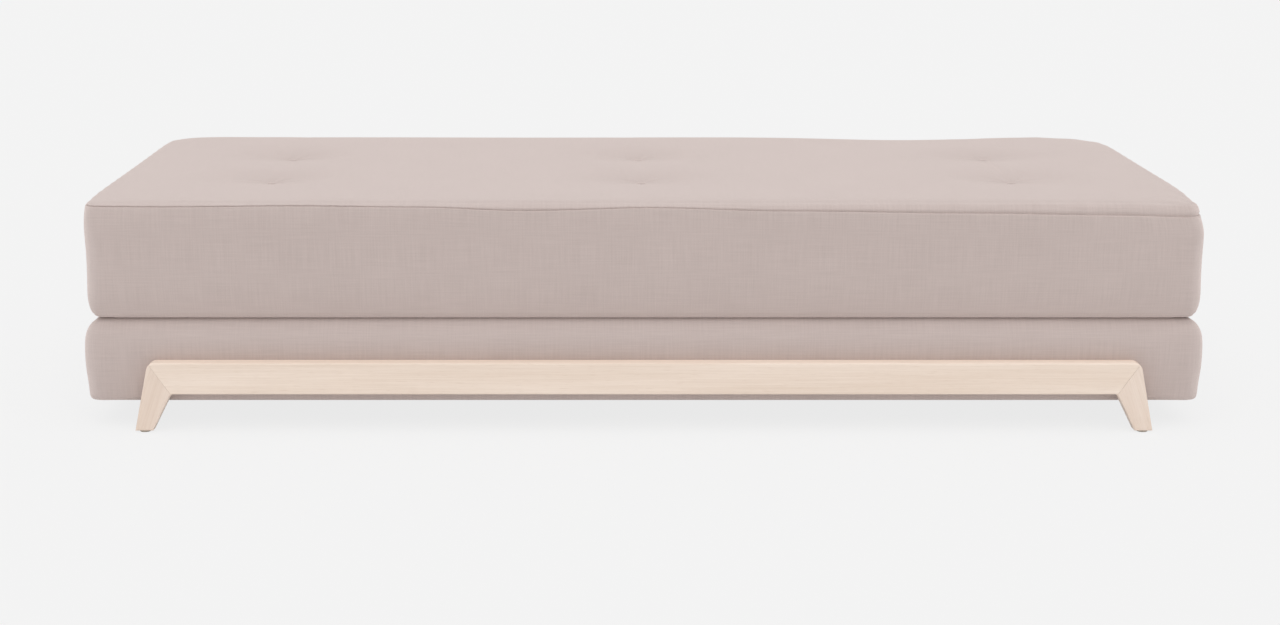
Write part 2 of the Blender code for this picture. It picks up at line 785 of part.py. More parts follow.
def build_mattress(shop):
    """Core, three cover panels, buttons and ties."""
    core_form = MATTRESS_FORM.shrunk(FILLING_INSET)
    lines_x, lines_y = top_lines(0), top_lines(1)
    top_seam = MATTRESS_EDGE - TOP_SEAM_DROP
    bottom_seam = MATTRESS_BOTTOM + BOTTOM_SEAM_RISE
    bores, recesses = bmesh.new(), bmesh.new()
    anchor_top = core_form.bottom + ANCHOR_T
    for x, y in tuft_places():
        above = MATTRESS_TOP + BUTTON_H
        add_rod(bores, TWINE_R + CLEAR, (x, y, core_form.bottom), (x, y, above), TURN_STEPS // 2)
        low, high = MATTRESS_BOTTOM + COVER_T, anchor_top + CLEAR
        add_rod(recesses, ANCHOR_R + CLEAR, (x, y, low), (x, y, high))
    bore_cutter = shop.cutter("tie_bores", bores)
    recess_cutter = shop.cutter("anchor_recesses", recesses)

    name = "mattress_core"
    core = core_form.solid(lines_x, lines_y)
    cut(shop.part(name, mesh_of(name, core), "foam", "mattress_fold"), recess_cutter, bore_cutter)

    top = between(MATTRESS_FORM.solid(lines_x, lines_y), low=top_seam + CLEAR / 2)
    cut(sheet(shop, "mattress_top_panel", top, "linen", "mattress_fold"), bore_cutter)
    border = between(MATTRESS_FORM.solid(), bottom_seam + CLEAR / 2, top_seam - CLEAR / 2)
    sheet(shop, "mattress_border", border, "linen", "mattress_fold")
    bottom = between(MATTRESS_FORM.solid(), high=bottom_seam - CLEAR / 2)
    sheet(shop, "mattress_bottom_panel", bottom, "linen", "mattress_fold")

    for number, (x, y) in enumerate(tuft_places(), 1):
        seat = MATTRESS_EDGE + MATTRESS_FORM.rise(x, y) + CLEAR
        build_button(shop, f"tuft_button_{number}", (x, y, seat))
        build_tie(shop, f"tuft_tie_{number}", (x, y), core_form.bottom, seat - CLEAR)


def build_button(shop, name, place):
    """A fabric-covered button with a dished underside."""
    dome = [math.radians(angle) for angle in (0, *ROUND_ANGLES, 90)]
    profile = [
        (BUTTON_R * math.sin(a), BUTTON_WAIST + (BUTTON_H - BUTTON_WAIST) * math.cos(a)) for a in dome
    ]
    profile += [(BUTTON_RIM_R, BUTTON_DISH), (0, 0)]
    spin(shop.part(name, turned_mesh(name, profile), "linen", "mattress_fold", place))


def build_tie(shop, name, place, bottom, top):
    """Tufting twine with the disc that anchors it under the core."""
    length = top - bottom
    profile = [
        (0, length),
        (TWINE_R, length),
        (TWINE_R, ANCHOR_T),
        (ANCHOR_R, ANCHOR_T),
        (ANCHOR_R, 0),
        (0, 0),
    ]
    mesh = turned_mesh(name, profile)
    spin(shop.part(name, mesh, "twine", "mattress_fold", (*place, bottom)), TURN_STEPS // 2)


def main():
    shop = Workshop()
    shop.pivot("base_origin", (0, 0, 0))
    shop.pivot("strap_slide", (0, HINGE_Y, HINGE_Z), "base_origin")
    shop.pivot("mattress_fold", (0, HINGE_Y, HINGE_Z), "strap_slide")
    bolt_cutters = build_trestles(shop)
    build_frame(shop, bolt_cutters)
    build_base_upholstery(shop, bolt_cutters)
    build_strap(shop)
    build_mattress(shop)


main()
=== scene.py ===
"""Looks of the fold-out sofa bed: woven covers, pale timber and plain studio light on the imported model.

Metres, +Z up, front towards -Y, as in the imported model.
"""

import json
import logging
import math
from abc import ABC, abstractmethod
from dataclasses import dataclass, field
from enum import Enum
from typing import Any, Callable, Optional, Sequence, Union

import bmesh
import bpy
import numpy as np
from bpy.types import Material, Mesh, Node, NodeOutputs, NodeSocket, NodeTree, Object
from mathutils import Matrix, Vector

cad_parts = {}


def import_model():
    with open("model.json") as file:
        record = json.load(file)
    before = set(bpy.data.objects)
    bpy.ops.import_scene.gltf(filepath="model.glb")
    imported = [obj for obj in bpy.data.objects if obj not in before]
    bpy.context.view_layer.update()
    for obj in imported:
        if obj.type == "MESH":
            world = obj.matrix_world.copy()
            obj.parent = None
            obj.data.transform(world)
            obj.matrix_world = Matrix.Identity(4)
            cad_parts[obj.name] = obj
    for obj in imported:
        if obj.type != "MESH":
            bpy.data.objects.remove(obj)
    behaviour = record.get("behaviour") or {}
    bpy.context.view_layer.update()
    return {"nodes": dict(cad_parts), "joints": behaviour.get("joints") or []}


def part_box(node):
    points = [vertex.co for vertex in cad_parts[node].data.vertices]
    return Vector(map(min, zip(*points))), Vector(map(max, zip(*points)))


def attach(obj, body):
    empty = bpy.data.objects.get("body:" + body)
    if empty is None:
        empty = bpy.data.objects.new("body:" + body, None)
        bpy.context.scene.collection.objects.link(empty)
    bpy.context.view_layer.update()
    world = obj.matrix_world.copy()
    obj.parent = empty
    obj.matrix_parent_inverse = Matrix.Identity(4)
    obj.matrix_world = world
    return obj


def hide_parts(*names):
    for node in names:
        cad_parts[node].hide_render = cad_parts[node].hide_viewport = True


LOG = logging.getLogger("sofa_bed")
TUFT_NUMBERS = range(1, 7)

# How close points are that count as one, and how far a normal leans along the axis that its face looks along
MERGE = 1e-6
FACING = 0.5

# Dark and light tone of the timbers that several finishes share
LEG_TONES = ((228, 208, 192), (243, 227, 214))
FRAME_TONES = ((188, 150, 104), (220, 188, 145))
FRAME_PORE = (150, 112, 70)

# Names of what the meshes carry: the weave's coordinates, and values of single points
CLOTH_UV = "cloth"
CREASE = "crease"
HELD = "held"
# Painted shade: how much darker the cloth's colour is drawn in and round the tuft hollows
PAINTED_TUFT_SHADE = "crushed"

# Sockets of a colour mix by number, because mixes of other kinds share their names
MIX_FIRST = 6
MIX_SECOND = 7
MIX_RESULT = 2

Colour = tuple[int, int, int]
Feed = Union[NodeSocket, float, Sequence[float]]
Inputs = dict[Union[str, int], Feed]
Pattern = tuple[NodeSocket, NodeSocket, NodeSocket]
Array = np.ndarray
Pair = tuple[float, float]
Triple = tuple[float, float, float]


class Body(str, Enum):
    """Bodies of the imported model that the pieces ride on."""

    BASE = "base"
    STRAP = "hinge_strap"
    MATTRESS = "mattress"


class GrainWay(Enum):
    """Which way the grain of a board runs, as the turn that brings it onto X."""

    LENGTH = (0.0, 0.0, 0.0)
    DEPTH = (0.0, 0.0, math.radians(90))
    LEFT_LEG = (0.0, math.radians(70.5), 0.0)
    RIGHT_LEG = (0.0, math.radians(109.5), 0.0)


def linear(colour: Colour) -> tuple[float, float, float, float]:
    """Turns an sRGB colour into linear light.

    Args:
        colour: Red, green and blue from 0 to 255.

    Returns:
        Linear red, green and blue, and full opacity.
    """
    shares = [value / 255 for value in colour]
    light = [s / 12.92 if s <= 0.04045 else ((s + 0.055) / 1.055) ** 2.4 for s in shares]
    return (light[0], light[1], light[2], 1.0)


def smooth(share: Array) -> Array:
    """Eases a share from 0 to 1 with level ends."""
    held = np.clip(share, 0.0, 1.0)
    return held * held * (3 - 2 * held)


# Shader nodes


class NodeBoard:
    """Adds nodes to one shader tree and joins them."""

    def __init__(self, tree: NodeTree) -> None:
        """Takes the tree that the nodes go into."""
        self.tree = tree

    def feed(self, node: Node, inputs: Inputs) -> None:
        """Joins a node's inputs to other sockets, or sets their values.

        Args:
            node: The node.
            inputs: What each input takes, by name or number.
        """
        for name, value in inputs.items():
            if isinstance(value, NodeSocket):
                self.tree.links.new(value, node.inputs[name])
            else:
                node.inputs[name].default_value = value

    def add(self, kind: str, inputs: Optional[Inputs] = None, **settings: Any) -> Node:
        """Adds one node.

        Args:
            kind: The node's type.
            inputs: What each input takes, by name or number.
            settings: The node's own settings.

        Returns:
            The new node.
        """
        node = self.tree.nodes.new(kind)
        for name, value in settings.items():
            setattr(node, name, value)
        self.feed(node, inputs or {})
        return node

    def group(self, tree: NodeTree, **inputs: Feed) -> NodeOutputs:
        """Adds a node group, and gives its outputs."""
        return self.add("ShaderNodeGroup", inputs, node_tree=tree).outputs

    def math(self, operation: str, *values: Feed) -> NodeSocket:
        """Works out one sum of one to three values."""
        return self.add("ShaderNodeMath", dict(enumerate(values)), operation=operation).outputs[0]

    def weighted(self, first: Feed, first_share: float, second: Feed, second_share: float) -> NodeSocket:
        """Adds two values, each by its share."""
        first_part = self.math("MULTIPLY", first, first_share)
        return self.math("ADD", first_part, self.math("MULTIPLY", second, second_share))

    def mapped(
        self, vector: Feed, scale: Sequence[float] = (1, 1, 1), turn: Sequence[float] = (0, 0, 0)
    ) -> NodeSocket:
        """Turns a pattern's coordinates and then stretches them."""
        turned = self.add("ShaderNodeMapping", {"Vector": vector, "Rotation": turn}).outputs[0]
        return self.add("ShaderNodeMapping", {"Vector": turned, "Scale": scale}).outputs[0]

    def noise(self, vector: Feed, cells: Sequence[float], detail: float) -> NodeSocket:
        """Soft noise from 0 to 1, with its own cells per metre along each axis."""
        inputs = {"Vector": self.mapped(vector, cells), "Scale": 1.0, "Detail": detail}
        return self.add("ShaderNodeTexNoise", inputs).outputs["Fac"]

    def ranged(self, value: Feed, low: float, high: float) -> NodeSocket:
        """Spreads the stretch of a value between low and high over 0 to 1."""
        inputs = {"Value": value, "From Min": low, "From Max": high}
        return self.add("ShaderNodeMapRange", inputs).outputs[0]

    def mixed(self, factor: Feed, first: Feed, second: Feed, clamp: bool = True) -> NodeSocket:
        """Mixes two colours by a factor."""
        inputs = {"Factor": factor, MIX_FIRST: first, MIX_SECOND: second}
        return self.add("ShaderNodeMix", inputs, data_type="RGBA", clamp_factor=clamp).outputs[MIX_RESULT]

    def bump(self, height: Feed, strength: float, distance: float) -> NodeSocket:
        """Turns a height into a normal."""
        inputs = {"Height": height, "Strength": strength, "Distance": distance}
        return self.add("ShaderNodeBump", inputs).outputs["Normal"]


@dataclass
class Effects:
    """Node groups that several finishes share."""

    tone_span: Pair = (0.3, 0.7)
    slub_tone: float = 0.75
    slub_relief: float = 0.8
    crossing_relief: float = 0.6
    figure_tone: float = 0.6
    pore_span: Pair = (0.62, 0.75)
    weave: NodeTree = field(init=False)
    grain: NodeTree = field(init=False)
    mottle: NodeTree = field(init=False)

    def __post_init__(self) -> None:
        """Builds each group once."""
        self.weave = self.make_weave()
        self.grain = self.make_grain()
        self.mottle = self.make_mottle()

    @staticmethod
    def new_group(
        name: str, inputs: dict[str, str], outputs: Sequence[str]
    ) -> tuple[NodeBoard, Node, Node]:
        """Starts a node group.

        Args:
            name: The group's name.
            inputs: The type of each input socket.
            outputs: The names of its outputs, all plain values.

        Returns:
            A board to add the group's nodes on, and its input and output nodes.
        """
        tree = bpy.data.node_groups.new(name, "ShaderNodeTree")
        for socket, kind in inputs.items():
            tree.interface.new_socket(socket, in_out="INPUT", socket_type=kind)
        for socket in outputs:
            tree.interface.new_socket(socket, in_out="OUTPUT", socket_type="NodeSocketFloat")
        board = NodeBoard(tree)
        return board, board.add("NodeGroupInput"), board.add("NodeGroupOutput")

    def make_weave(self) -> NodeTree:
        """A plain weave with slubs: thread crossings, and thicker yarns that run both ways.

        Returns:
            The group.
        """
        kinds = {"Vector": "NodeSocketVector", "Threads": "NodeSocketFloat"}
        board, given, out = self.new_group("plain weave", kinds, ("Tone", "Relief"))
        vector = given.outputs["Vector"]
        axes = board.add("ShaderNodeSeparateXYZ", {0: vector}).outputs
        turns = board.math("MULTIPLY", given.outputs["Threads"], math.pi)
        waves = [board.math("SINE", board.math("MULTIPLY", axes[i], turns)) for i in (0, 1)]
        crossing = board.math("ABSOLUTE", board.math("MULTIPLY", *waves))
        weft = board.noise(vector, cells=(14, 420, 1), detail=3.0)
        warp = board.noise(vector, cells=(420, 14, 1), detail=3.0)
        slubs = board.math("MULTIPLY", board.math("ADD", weft, warp), 0.5)
        fleck = board.noise(vector, cells=(900, 900, 1), detail=1.0)
        tone = board.weighted(slubs, self.slub_tone, fleck, 1 - self.slub_tone)
        relief = board.weighted(crossing, self.crossing_relief, slubs, self.slub_relief)
        board.feed(out, {"Tone": board.ranged(tone, *self.tone_span), "Relief": relief})
        return board.tree

    def make_grain(self) -> NodeTree:
        """Straight wood grain along X: broad figure, fine fibres and short pores.

        Returns:
            The group.
        """
        kinds = {"Vector": "NodeSocketVector"}
        board, given, out = self.new_group("wood grain", kinds, ("Tone", "Pores"))
        vector = given.outputs["Vector"]
        figure = board.noise(vector, cells=(1.6, 26, 26), detail=3.0)
        fibres = board.noise(vector, cells=(7, 380, 380), detail=2.0)
        pores = board.noise(vector, cells=(38, 1100, 1100), detail=1.0)
        tone = board.weighted(figure, self.figure_tone, fibres, 1 - self.figure_tone)
        tone = board.ranged(tone, *self.tone_span)
        board.feed(out, {"Tone": tone, "Pores": board.ranged(pores, *self.pore_span)})
        return board.tree

    def make_mottle(self) -> NodeTree:
        """Uneven colour of a matted or cast surface: clouds and fine specks.

        Returns:
            The group.
        """
        kinds = {"Vector": "NodeSocketVector", "Specks": "NodeSocketFloat"}
        board, given, out = self.new_group("mottling", kinds, ("Clouds", "Specks"))
        vector = given.outputs["Vector"]
        clouds = board.noise(vector, cells=(9, 9, 9), detail=3.0)
        inputs = {"Vector": vector, "Scale": given.outputs["Specks"], "Detail": 2.0}
        specks = board.add("ShaderNodeTexNoise", inputs).outputs["Fac"]
        for name, value in (("Clouds", clouds), ("Specks", specks)):
            board.feed(out, {name: board.ranged(value, *self.tone_span)})
        return board.tree


# Finishes


@dataclass(frozen=True)
class Finish(ABC):
    """What every finish has: two colours, and how rough, raised and shiny it is."""

    name: str
    dark: Colour
    light: Colour
    roughness: float
    rough_spread: float
    relief_strength: float
    relief_depth: float
    specular: float = 0.5
    metallic: float = 0.0
    sheen: float = 0.0
    sheen_roughness: float = 0.5
    fuzz: Colour = (255, 255, 255)

    @abstractmethod
    def pattern(self, board: NodeBoard, effects: Effects) -> Pattern:
        """The finish's colour, the tone that its roughness follows, and its relief."""

    def material(self, effects: Effects) -> Material:
        """Makes the material.

        Args:
            effects: The shared node groups.

        Returns:
            The finished material.
        """
        material = bpy.data.materials.new(self.name)
        material.use_nodes = True
        board = NodeBoard(material.node_tree)
        colour, tone, relief = self.pattern(board, effects)
        inputs = {
            "Base Color": colour,
            "Roughness": board.math("MULTIPLY_ADD", tone, self.rough_spread, self.roughness),
            "Normal": board.bump(relief, self.relief_strength, self.relief_depth),
            "Specular IOR Level": self.specular,
            "Metallic": self.metallic,
            "Sheen Weight": self.sheen,
            "Sheen Roughness": self.sheen_roughness,
            "Sheen Tint": linear(self.fuzz),
        }
        board.feed(material.node_tree.nodes["Principled BSDF"], inputs)
        return material

    def place(self, board: NodeBoard) -> NodeSocket:
        """Object coordinates, which are the model's own metres."""
        return board.add("ShaderNodeTexCoord").outputs["Object"]

    def toned(self, board: NodeBoard, tone: Feed, clamp: bool = True) -> NodeSocket:
        """Mixes the dark and the light colour by a tone."""
        return board.mixed(tone, linear(self.dark), linear(self.light), clamp)


@dataclass(frozen=True)
class WovenFinish(Finish):
    """Upholstery cloth in a plain weave with slubs, on the cloth's own coordinates."""

    roughness: float = 0.86
    rough_spread: float = 0.08
    relief_strength: float = 0.55
    relief_depth: float = 0.0005
    specular: float = 0.2
    sheen: float = 1.0
    sheen_roughness: float = 0.65
    fuzz: Colour = (250, 236, 231)
    threads: float = 620.0
    clouding: float = 0.12
    # How much the painted shade darkens the cloth's colour in the tufts
    tuft_shade_strength: float = 0.44

    def pattern(self, board: NodeBoard, effects: Effects) -> Pattern:
        """Weaves the cloth, a little clouded, with shade painted into its colour in the tuft hollows.

        Args:
            board: The board for the material's nodes.
            effects: The shared node groups.

        Returns:
            Its colour, tone and relief.
        """
        cloth = board.add("ShaderNodeUVMap", uv_map=CLOTH_UV).outputs["UV"]
        weave = board.group(effects.weave, Vector=cloth, Threads=self.threads)
        clouds = board.group(effects.mottle, Vector=self.place(board))["Clouds"]
        tone = board.weighted(clouds, self.clouding, weave["Tone"], 1 - self.clouding)
        # Painted shade: the colour is darkened where the mesh marks the tuft hollows
        crushed = board.add("ShaderNodeAttribute", attribute_name=PAINTED_TUFT_SHADE).outputs["Fac"]
        tone = board.math("SUBTRACT", tone, board.math("MULTIPLY", crushed, self.tuft_shade_strength))
        return self.toned(board, tone, clamp=False), weave["Tone"], weave["Relief"]


@dataclass(frozen=True)
class TimberFinish(Finish):
    """Planed wood with straight grain."""

    roughness: float = 0.55
    rough_spread: float = -0.1
    relief_strength: float = 0.25
    relief_depth: float = 0.0002
    specular: float = 0.35
    way: GrainWay = GrainWay.LENGTH
    pore: Colour = (205, 180, 158)
    pore_share: float = 0.35

    def pattern(self, board: NodeBoard, effects: Effects) -> Pattern:
        """Runs the grain along the board.

        Args:
            board: The board for the material's nodes.
            effects: The shared node groups.

        Returns:
            Its colour, tone and relief.
        """
        place = board.mapped(self.place(board), turn=self.way.value)
        grain = board.group(effects.grain, Vector=place)
        pores = board.math("MULTIPLY", grain["Pores"], self.pore_share)
        colour = board.mixed(pores, self.toned(board, grain["Tone"]), linear(self.pore))
        return colour, grain["Tone"], board.math("SUBTRACT", grain["Tone"], grain["Pores"])


@dataclass(frozen=True)
class MattedFinish(Finish):
    """Felt, lining, twine or zinc: fibres or crystals with no direction."""

    roughness: float = 0.92
    rough_spread: float = -0.08
    relief_strength: float = 0.4
    relief_depth: float = 0.0004
    specks: float = 900.0

    def pattern(self, board: NodeBoard, effects: Effects) -> Pattern:
        """Mottles the surface.

        Args:
            board: The board for the material's nodes.
            effects: The shared node groups.

        Returns:
            Its colour, tone and relief.
        """
        mottle = board.group(effects.mottle, Vector=self.place(board), Specks=self.specks)
        both = board.math("ADD", mottle["Clouds"], mottle["Specks"])
        colour = self.toned(board, board.math("MULTIPLY", both, 0.5))
        return colour, mottle["Specks"], mottle["Specks"]


# Work on meshes


def coordinates(mesh: Mesh) -> Array:
    """The places of a mesh's points.

    Args:
        mesh: The mesh.

    Returns:
        One row for each point.
    """
    flat = np.zeros(len(mesh.vertices) * 3, np.float32)
    mesh.vertices.foreach_get("co", flat)
    return flat.reshape(-1, 3).astype(float)


def set_coordinates(mesh: Mesh, places: Array) -> None:
    """Moves a mesh's points to new places."""
    mesh.vertices.foreach_set("co", places.astype(np.float32).ravel())
    mesh.update()


def mark_points(mesh: Mesh, name: str, values: Array) -> None:
    """Keeps one value for each point of a mesh."""
    marks = mesh.attributes.new(name, "FLOAT", "POINT")
    marks.data.foreach_set("value", values.astype(np.float32))


def select_only(*objects: Object) -> None:
    """Selects some objects and nothing else.

    Args:
        objects: The objects, of which the first becomes the active one.
    """
    bpy.ops.object.select_all(action="DESELECT")
    for obj in objects:
        obj.select_set(True)
    bpy.context.view_layer.objects.active = objects[0]


def modify(obj: Object, kind: str, **settings: Any) -> None:
    """Adds one modifier and applies it.

    Args:
        obj: The object.
        kind: The modifier's type.
        settings: The modifier's own settings.
    """
    modifier = obj.modifiers.new(kind, kind)
    for name, value in settings.items():
        setattr(modifier, name, value)
    select_only(obj)
    bpy.ops.object.modifier_apply(modifier=modifier.name)


def new_primitive(
    name: str, add: Callable[..., Any], stretch: Sequence[float] = (1, 1, 1), **settings: Any
) -> Object:
    """Adds a primitive with nothing else selected, and moves its place into its mesh.

    Args:
        name: The new object's name.
        add: The operator that adds the primitive.
        stretch: How far it is stretched along each axis.
        settings: The operator's settings.

    Returns:
        The new object, selected and active.
    """
    bpy.ops.object.select_all(action="DESELECT")
    add(**settings)
    obj = bpy.context.active_object
    obj.name = name
    obj.data.name = name
    obj.scale = stretch
    bpy.ops.object.transform_apply(location=True, rotation=True, scale=True)
    return obj


def placed_copy(first: Object, name: str, place: Matrix) -> Object:
    """Copies a piece with a mesh of its own.

    Args:
        first: The piece.
        name: The copy's name.
        place: Where the copy goes.

    Returns:
        The copy.
    """
    copy = first.copy()
    copy.data = first.data.copy()
    copy.name = name
    copy.data.transform(place)
    bpy.context.scene.collection.objects.link(copy)
    return copy


def lay_plan_cloth(obj: Object) -> None:
    """Gives a level piece its weave coordinates, in metres.

    Args:
        obj: The piece.
    """
    mesh = obj.data
    while mesh.uv_layers:
        mesh.uv_layers.remove(mesh.uv_layers[0])
    layer = mesh.uv_layers.new(name=CLOTH_UV)
    corners = np.zeros(len(mesh.loops), np.int32)
    mesh.loops.foreach_get("vertex_index", corners)
    places = coordinates(mesh)[corners, :2]
    layer.uv.foreach_set("vector", places.astype(np.float32).ravel())


def new_sheet(name: str, size: Pair, place: Triple, cells: tuple[int, int]) -> Object:
    """Lays out a level sheet with its weave coordinates.

    Args:
        name: The new object's name.
        size: Its sides along X and Y.
        place: Its middle.
        cells: How many cells it has along X and Y.

    Returns:
        The sheet.
    """
    grid = {"x_subdivisions": cells[0], "y_subdivisions": cells[1], "size": 1, "location": place}
    obj = new_primitive(name, bpy.ops.mesh.primitive_grid_add, (*size, 1), **grid)
    lay_plan_cloth(obj)
    return obj


def plan_middle(node: str) -> Pair:
    """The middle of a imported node, seen from above."""
    low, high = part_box(node)
    return ((low.x + high.x) / 2, (low.y + high.y) / 2)


# Padded pieces


def closer_lines(
    lines: list[float], middles: Sequence[float], beside: Sequence[float], room: float
) -> list[float]:
    """Divides a block more closely in some places.

    Args:
        lines: The division lines so far.
        middles: Where closer lines go.
        beside: How far from each middle they lie, on both sides of it.
        room: How far from each middle the lines so far give way.

    Returns:
        All lines.
    """
    for middle in middles:
        lines = [line for line in lines if abs(line - middle) > room]
        lines += [middle, *(middle + sign * away for sign in (-1, 1) for away in beside)]
    return lines


@dataclass(kw_only=True)
class PaddedBlock(ABC):
    """A stuffed block in a cloth cover: a divided box pressed into form, puffed up and sewn."""

    name: str
    length: float
    depth: float
    bottom: float
    top: float
    plan_radius: float
    top_round: Pair
    bottom_round: Pair
    cell: float = 0.020
    draw_in: float = 0.0
    draw_in_power: int = 6
    pressure: float = 4.0
    steps: int = 20
    puff_cap: float = 0.003
    seam_depth: float = 0.0
    corner_shares: tuple[float, ...] = (0.3, 0.6, 0.85)
    round_angles: tuple[float, ...] = (18, 36, 54, 72)
    flat: Array = field(init=False, repr=False)

    def across_lines(self, axis: int) -> list[float]:
        """Division lines in one direction of the plan.

        Args:
            axis: 0 for lines along the length, 1 for lines along the depth.

        Returns:
            Even cells, and closer ones round the corners.
        """
        start = (self.length, self.depth)[axis] / 2 - self.plan_radius
        count = 2 * round(start / self.cell)
        even = np.linspace(-start, start, count + 1)
        rim = [start + self.plan_radius * share for share in self.corner_shares]
        return [*even, *rim, *(-line for line in rim)]

    def height_lines(self) -> list[float]:
        """Division lines up the sides.

        Returns:
            Lines round the edges, and even cells between.
        """
        low = self.bottom + self.bottom_round[1]
        high = self.top - self.top_round[1]
        count = max(2, round((high - low) / self.cell))
        lines = list(np.linspace(low, high, count + 1))
        for angle in self.round_angles:
            drop = 1 - math.sin(math.radians(angle))
            lines.append(self.bottom + self.bottom_round[1] * drop)
            lines.append(self.top - self.top_round[1] * drop)
        return lines

    def panel_seam(self) -> float:
        """Height above which the sides belong to the top panel of the cover."""
        return self.bottom

    def cloth_place(self, point: Vector, normal: Vector, middle: Vector) -> Pair:
        """Where a point of the plain box lies on the flat cloth.

        Args:
            point: The point on the box.
            normal: The normal of its face.
            middle: The middle of its face.

        Returns:
            The two weave coordinates in metres.
        """
        if abs(normal.z) > FACING:
            return (point.x, point.y)
        drop = self.top - point.z
        of_top = middle.z > self.panel_seam()
        if abs(normal.y) > FACING:
            return (point.x, point.y + math.copysign(drop, normal.y) if of_top else point.z)
        return (point.x + math.copysign(drop, normal.x), point.y) if of_top else (point.y, point.z)

    def divided_box(self) -> Mesh:
        """The plain box, cut along its division lines, with its cloth coordinates.

        Returns:
            The mesh.
        """
        bm = bmesh.new()
        place = Matrix.Translation((0, 0, (self.top + self.bottom) / 2))
        size = Matrix.Diagonal((self.length, self.depth, self.top - self.bottom, 1))
        bmesh.ops.create_cube(bm, size=1, matrix=place @ size)
        cuts = (
            (Vector((0, 0, 1)), self.height_lines()),
            (Vector((0, 1, 0)), self.across_lines(1)),
            (Vector((1, 0, 0)), self.across_lines(0)),
        )
        for normal, lines in cuts:
            for line in lines:
                everything = bm.verts[:] + bm.edges[:] + bm.faces[:]
                bmesh.ops.bisect_plane(
                    bm, geom=everything, dist=MERGE, plane_co=normal * line, plane_no=normal
                )
        layer = bm.loops.layers.uv.new(CLOTH_UV)
        for face in bm.faces:
            face.smooth = True
            middle = face.calc_center_median()
            for loop in face.loops:
                loop[layer].uv = self.cloth_place(loop.vert.co, face.normal, middle)
        mesh = bpy.data.meshes.new(self.name)
        bm.to_mesh(mesh)
        bm.free()
        return mesh

    def side_inset(self, z: Array) -> Array:
        """How far the sides lie in from the fullest outline.

        Args:
            z: The height of each point.

        Returns:
            The inset of the ends and of the long sides at each point.
        """
        rounds = (
            (self.top_round, z - (self.top - self.top_round[1])),
            (self.bottom_round, self.bottom + self.bottom_round[1] - z),
        )
        inset = np.zeros_like(z)
        for (across, up), reach in rounds:
            share = np.clip(reach / up, 0.0, 1.0)
            inset += across * (1 - np.sqrt(1 - share * share))
        return np.stack((inset, inset), 1)

    def drifted(self) -> Array:
        """Heights of the points once the seams have drifted on the sides."""
        return self.flat[:, 2]

    @abstractmethod
    def rise(self, placed: Array) -> Array:
        """Height that each point gains over the plain block, from where it is placed."""

    @abstractmethod
    def held(self) -> Array:
        """Which points the stuffing's pressure leaves in place, from 0 to 1."""

    def creased(self) -> Array:
        """Which points lie on a sewn seam, from 0 to 1."""
        return np.zeros(len(self.flat))

    def pressed(self) -> Array:
        """Presses the box into its padded form.

        Returns:
            The places of all points.
        """
        z = self.drifted()
        halves = np.array((self.length, self.depth)) / 2
        reach = np.abs(self.flat[:, :2])
        starts = halves - self.plan_radius
        u, v = (np.maximum(reach - starts, 0) / self.plan_radius).T
        turned = np.stack((u * np.sqrt(1 - v * v / 2), v * np.sqrt(1 - u * u / 2)), 1)
        turned *= self.plan_radius - self.side_inset(z)
        near = reach / halves
        turned -= self.draw_in * near**self.draw_in_power * (1 - near[:, ::-1] ** 2)
        plan = np.sign(self.flat[:, :2]) * (np.minimum(reach, starts) + turned)
        placed = np.column_stack((plan, z))
        placed[:, 2] += self.rise(placed)
        return placed

    def puff(self, obj: Object) -> None:
        """Blows the cover out against whatever holds it, and caps how far each point goes.

        Args:
            obj: The pressed block.
        """
        start = coordinates(obj.data)
        group = obj.vertex_groups.new(name=HELD)
        for index, weight in enumerate(self.held()):
            group.add([index], float(weight), "REPLACE")
        cloth = obj.modifiers.new("cloth", "CLOTH")
        cloth.settings.vertex_group_mass = HELD
        cloth.settings.use_pressure = True
        cloth.settings.uniform_pressure_force = self.pressure
        cloth.settings.effector_weights.gravity = 0
        cloth.point_cache.frame_start = 1
        cloth.point_cache.frame_end = self.steps
        for step in range(1, self.steps + 1):
            bpy.context.scene.frame_set(step)
        select_only(obj)
        bpy.ops.object.modifier_apply(modifier=cloth.name)
        bpy.context.scene.frame_set(1)
        shift = coordinates(obj.data) - start
        length = np.maximum(np.linalg.norm(shift, axis=1), MERGE)
        LOG.info("%s puffed up by %.1f mm at most before its cap", self.name, 1000 * length.max())
        share = self.puff_cap * np.tanh(length / self.puff_cap) / length
        set_coordinates(obj.data, start + shift * share[:, None])
        obj.vertex_groups.remove(obj.vertex_groups[HELD])

    def sew(self, obj: Object) -> None:
        """Pulls the seams in along the surface normals.

        Args:
            obj: The puffed block.
        """
        mesh = obj.data
        share = np.zeros(len(mesh.vertices), np.float32)
        mesh.attributes[CREASE].data.foreach_get("value", share)
        normals = np.zeros(len(mesh.vertices) * 3, np.float32)
        mesh.vertex_normals.foreach_get("vector", normals)
        inward = normals.reshape(-1, 3) * (self.seam_depth * share)[:, None]
        set_coordinates(mesh, coordinates(mesh) - inward)
        mesh.attributes.remove(mesh.attributes[CREASE])

    def build(self) -> Object:
        """Models the whole block.

        Returns:
            The finished object.
        """
        mesh = self.divided_box()
        obj = bpy.data.objects.new(self.name, mesh)
        bpy.context.scene.collection.objects.link(obj)
        self.flat = coordinates(mesh)
        set_coordinates(mesh, self.pressed())
        mark_points(mesh, CREASE, self.creased())
        self.puff(obj)
        modify(obj, "SUBSURF", levels=1, render_levels=1)
        self.sew(obj)
        return obj


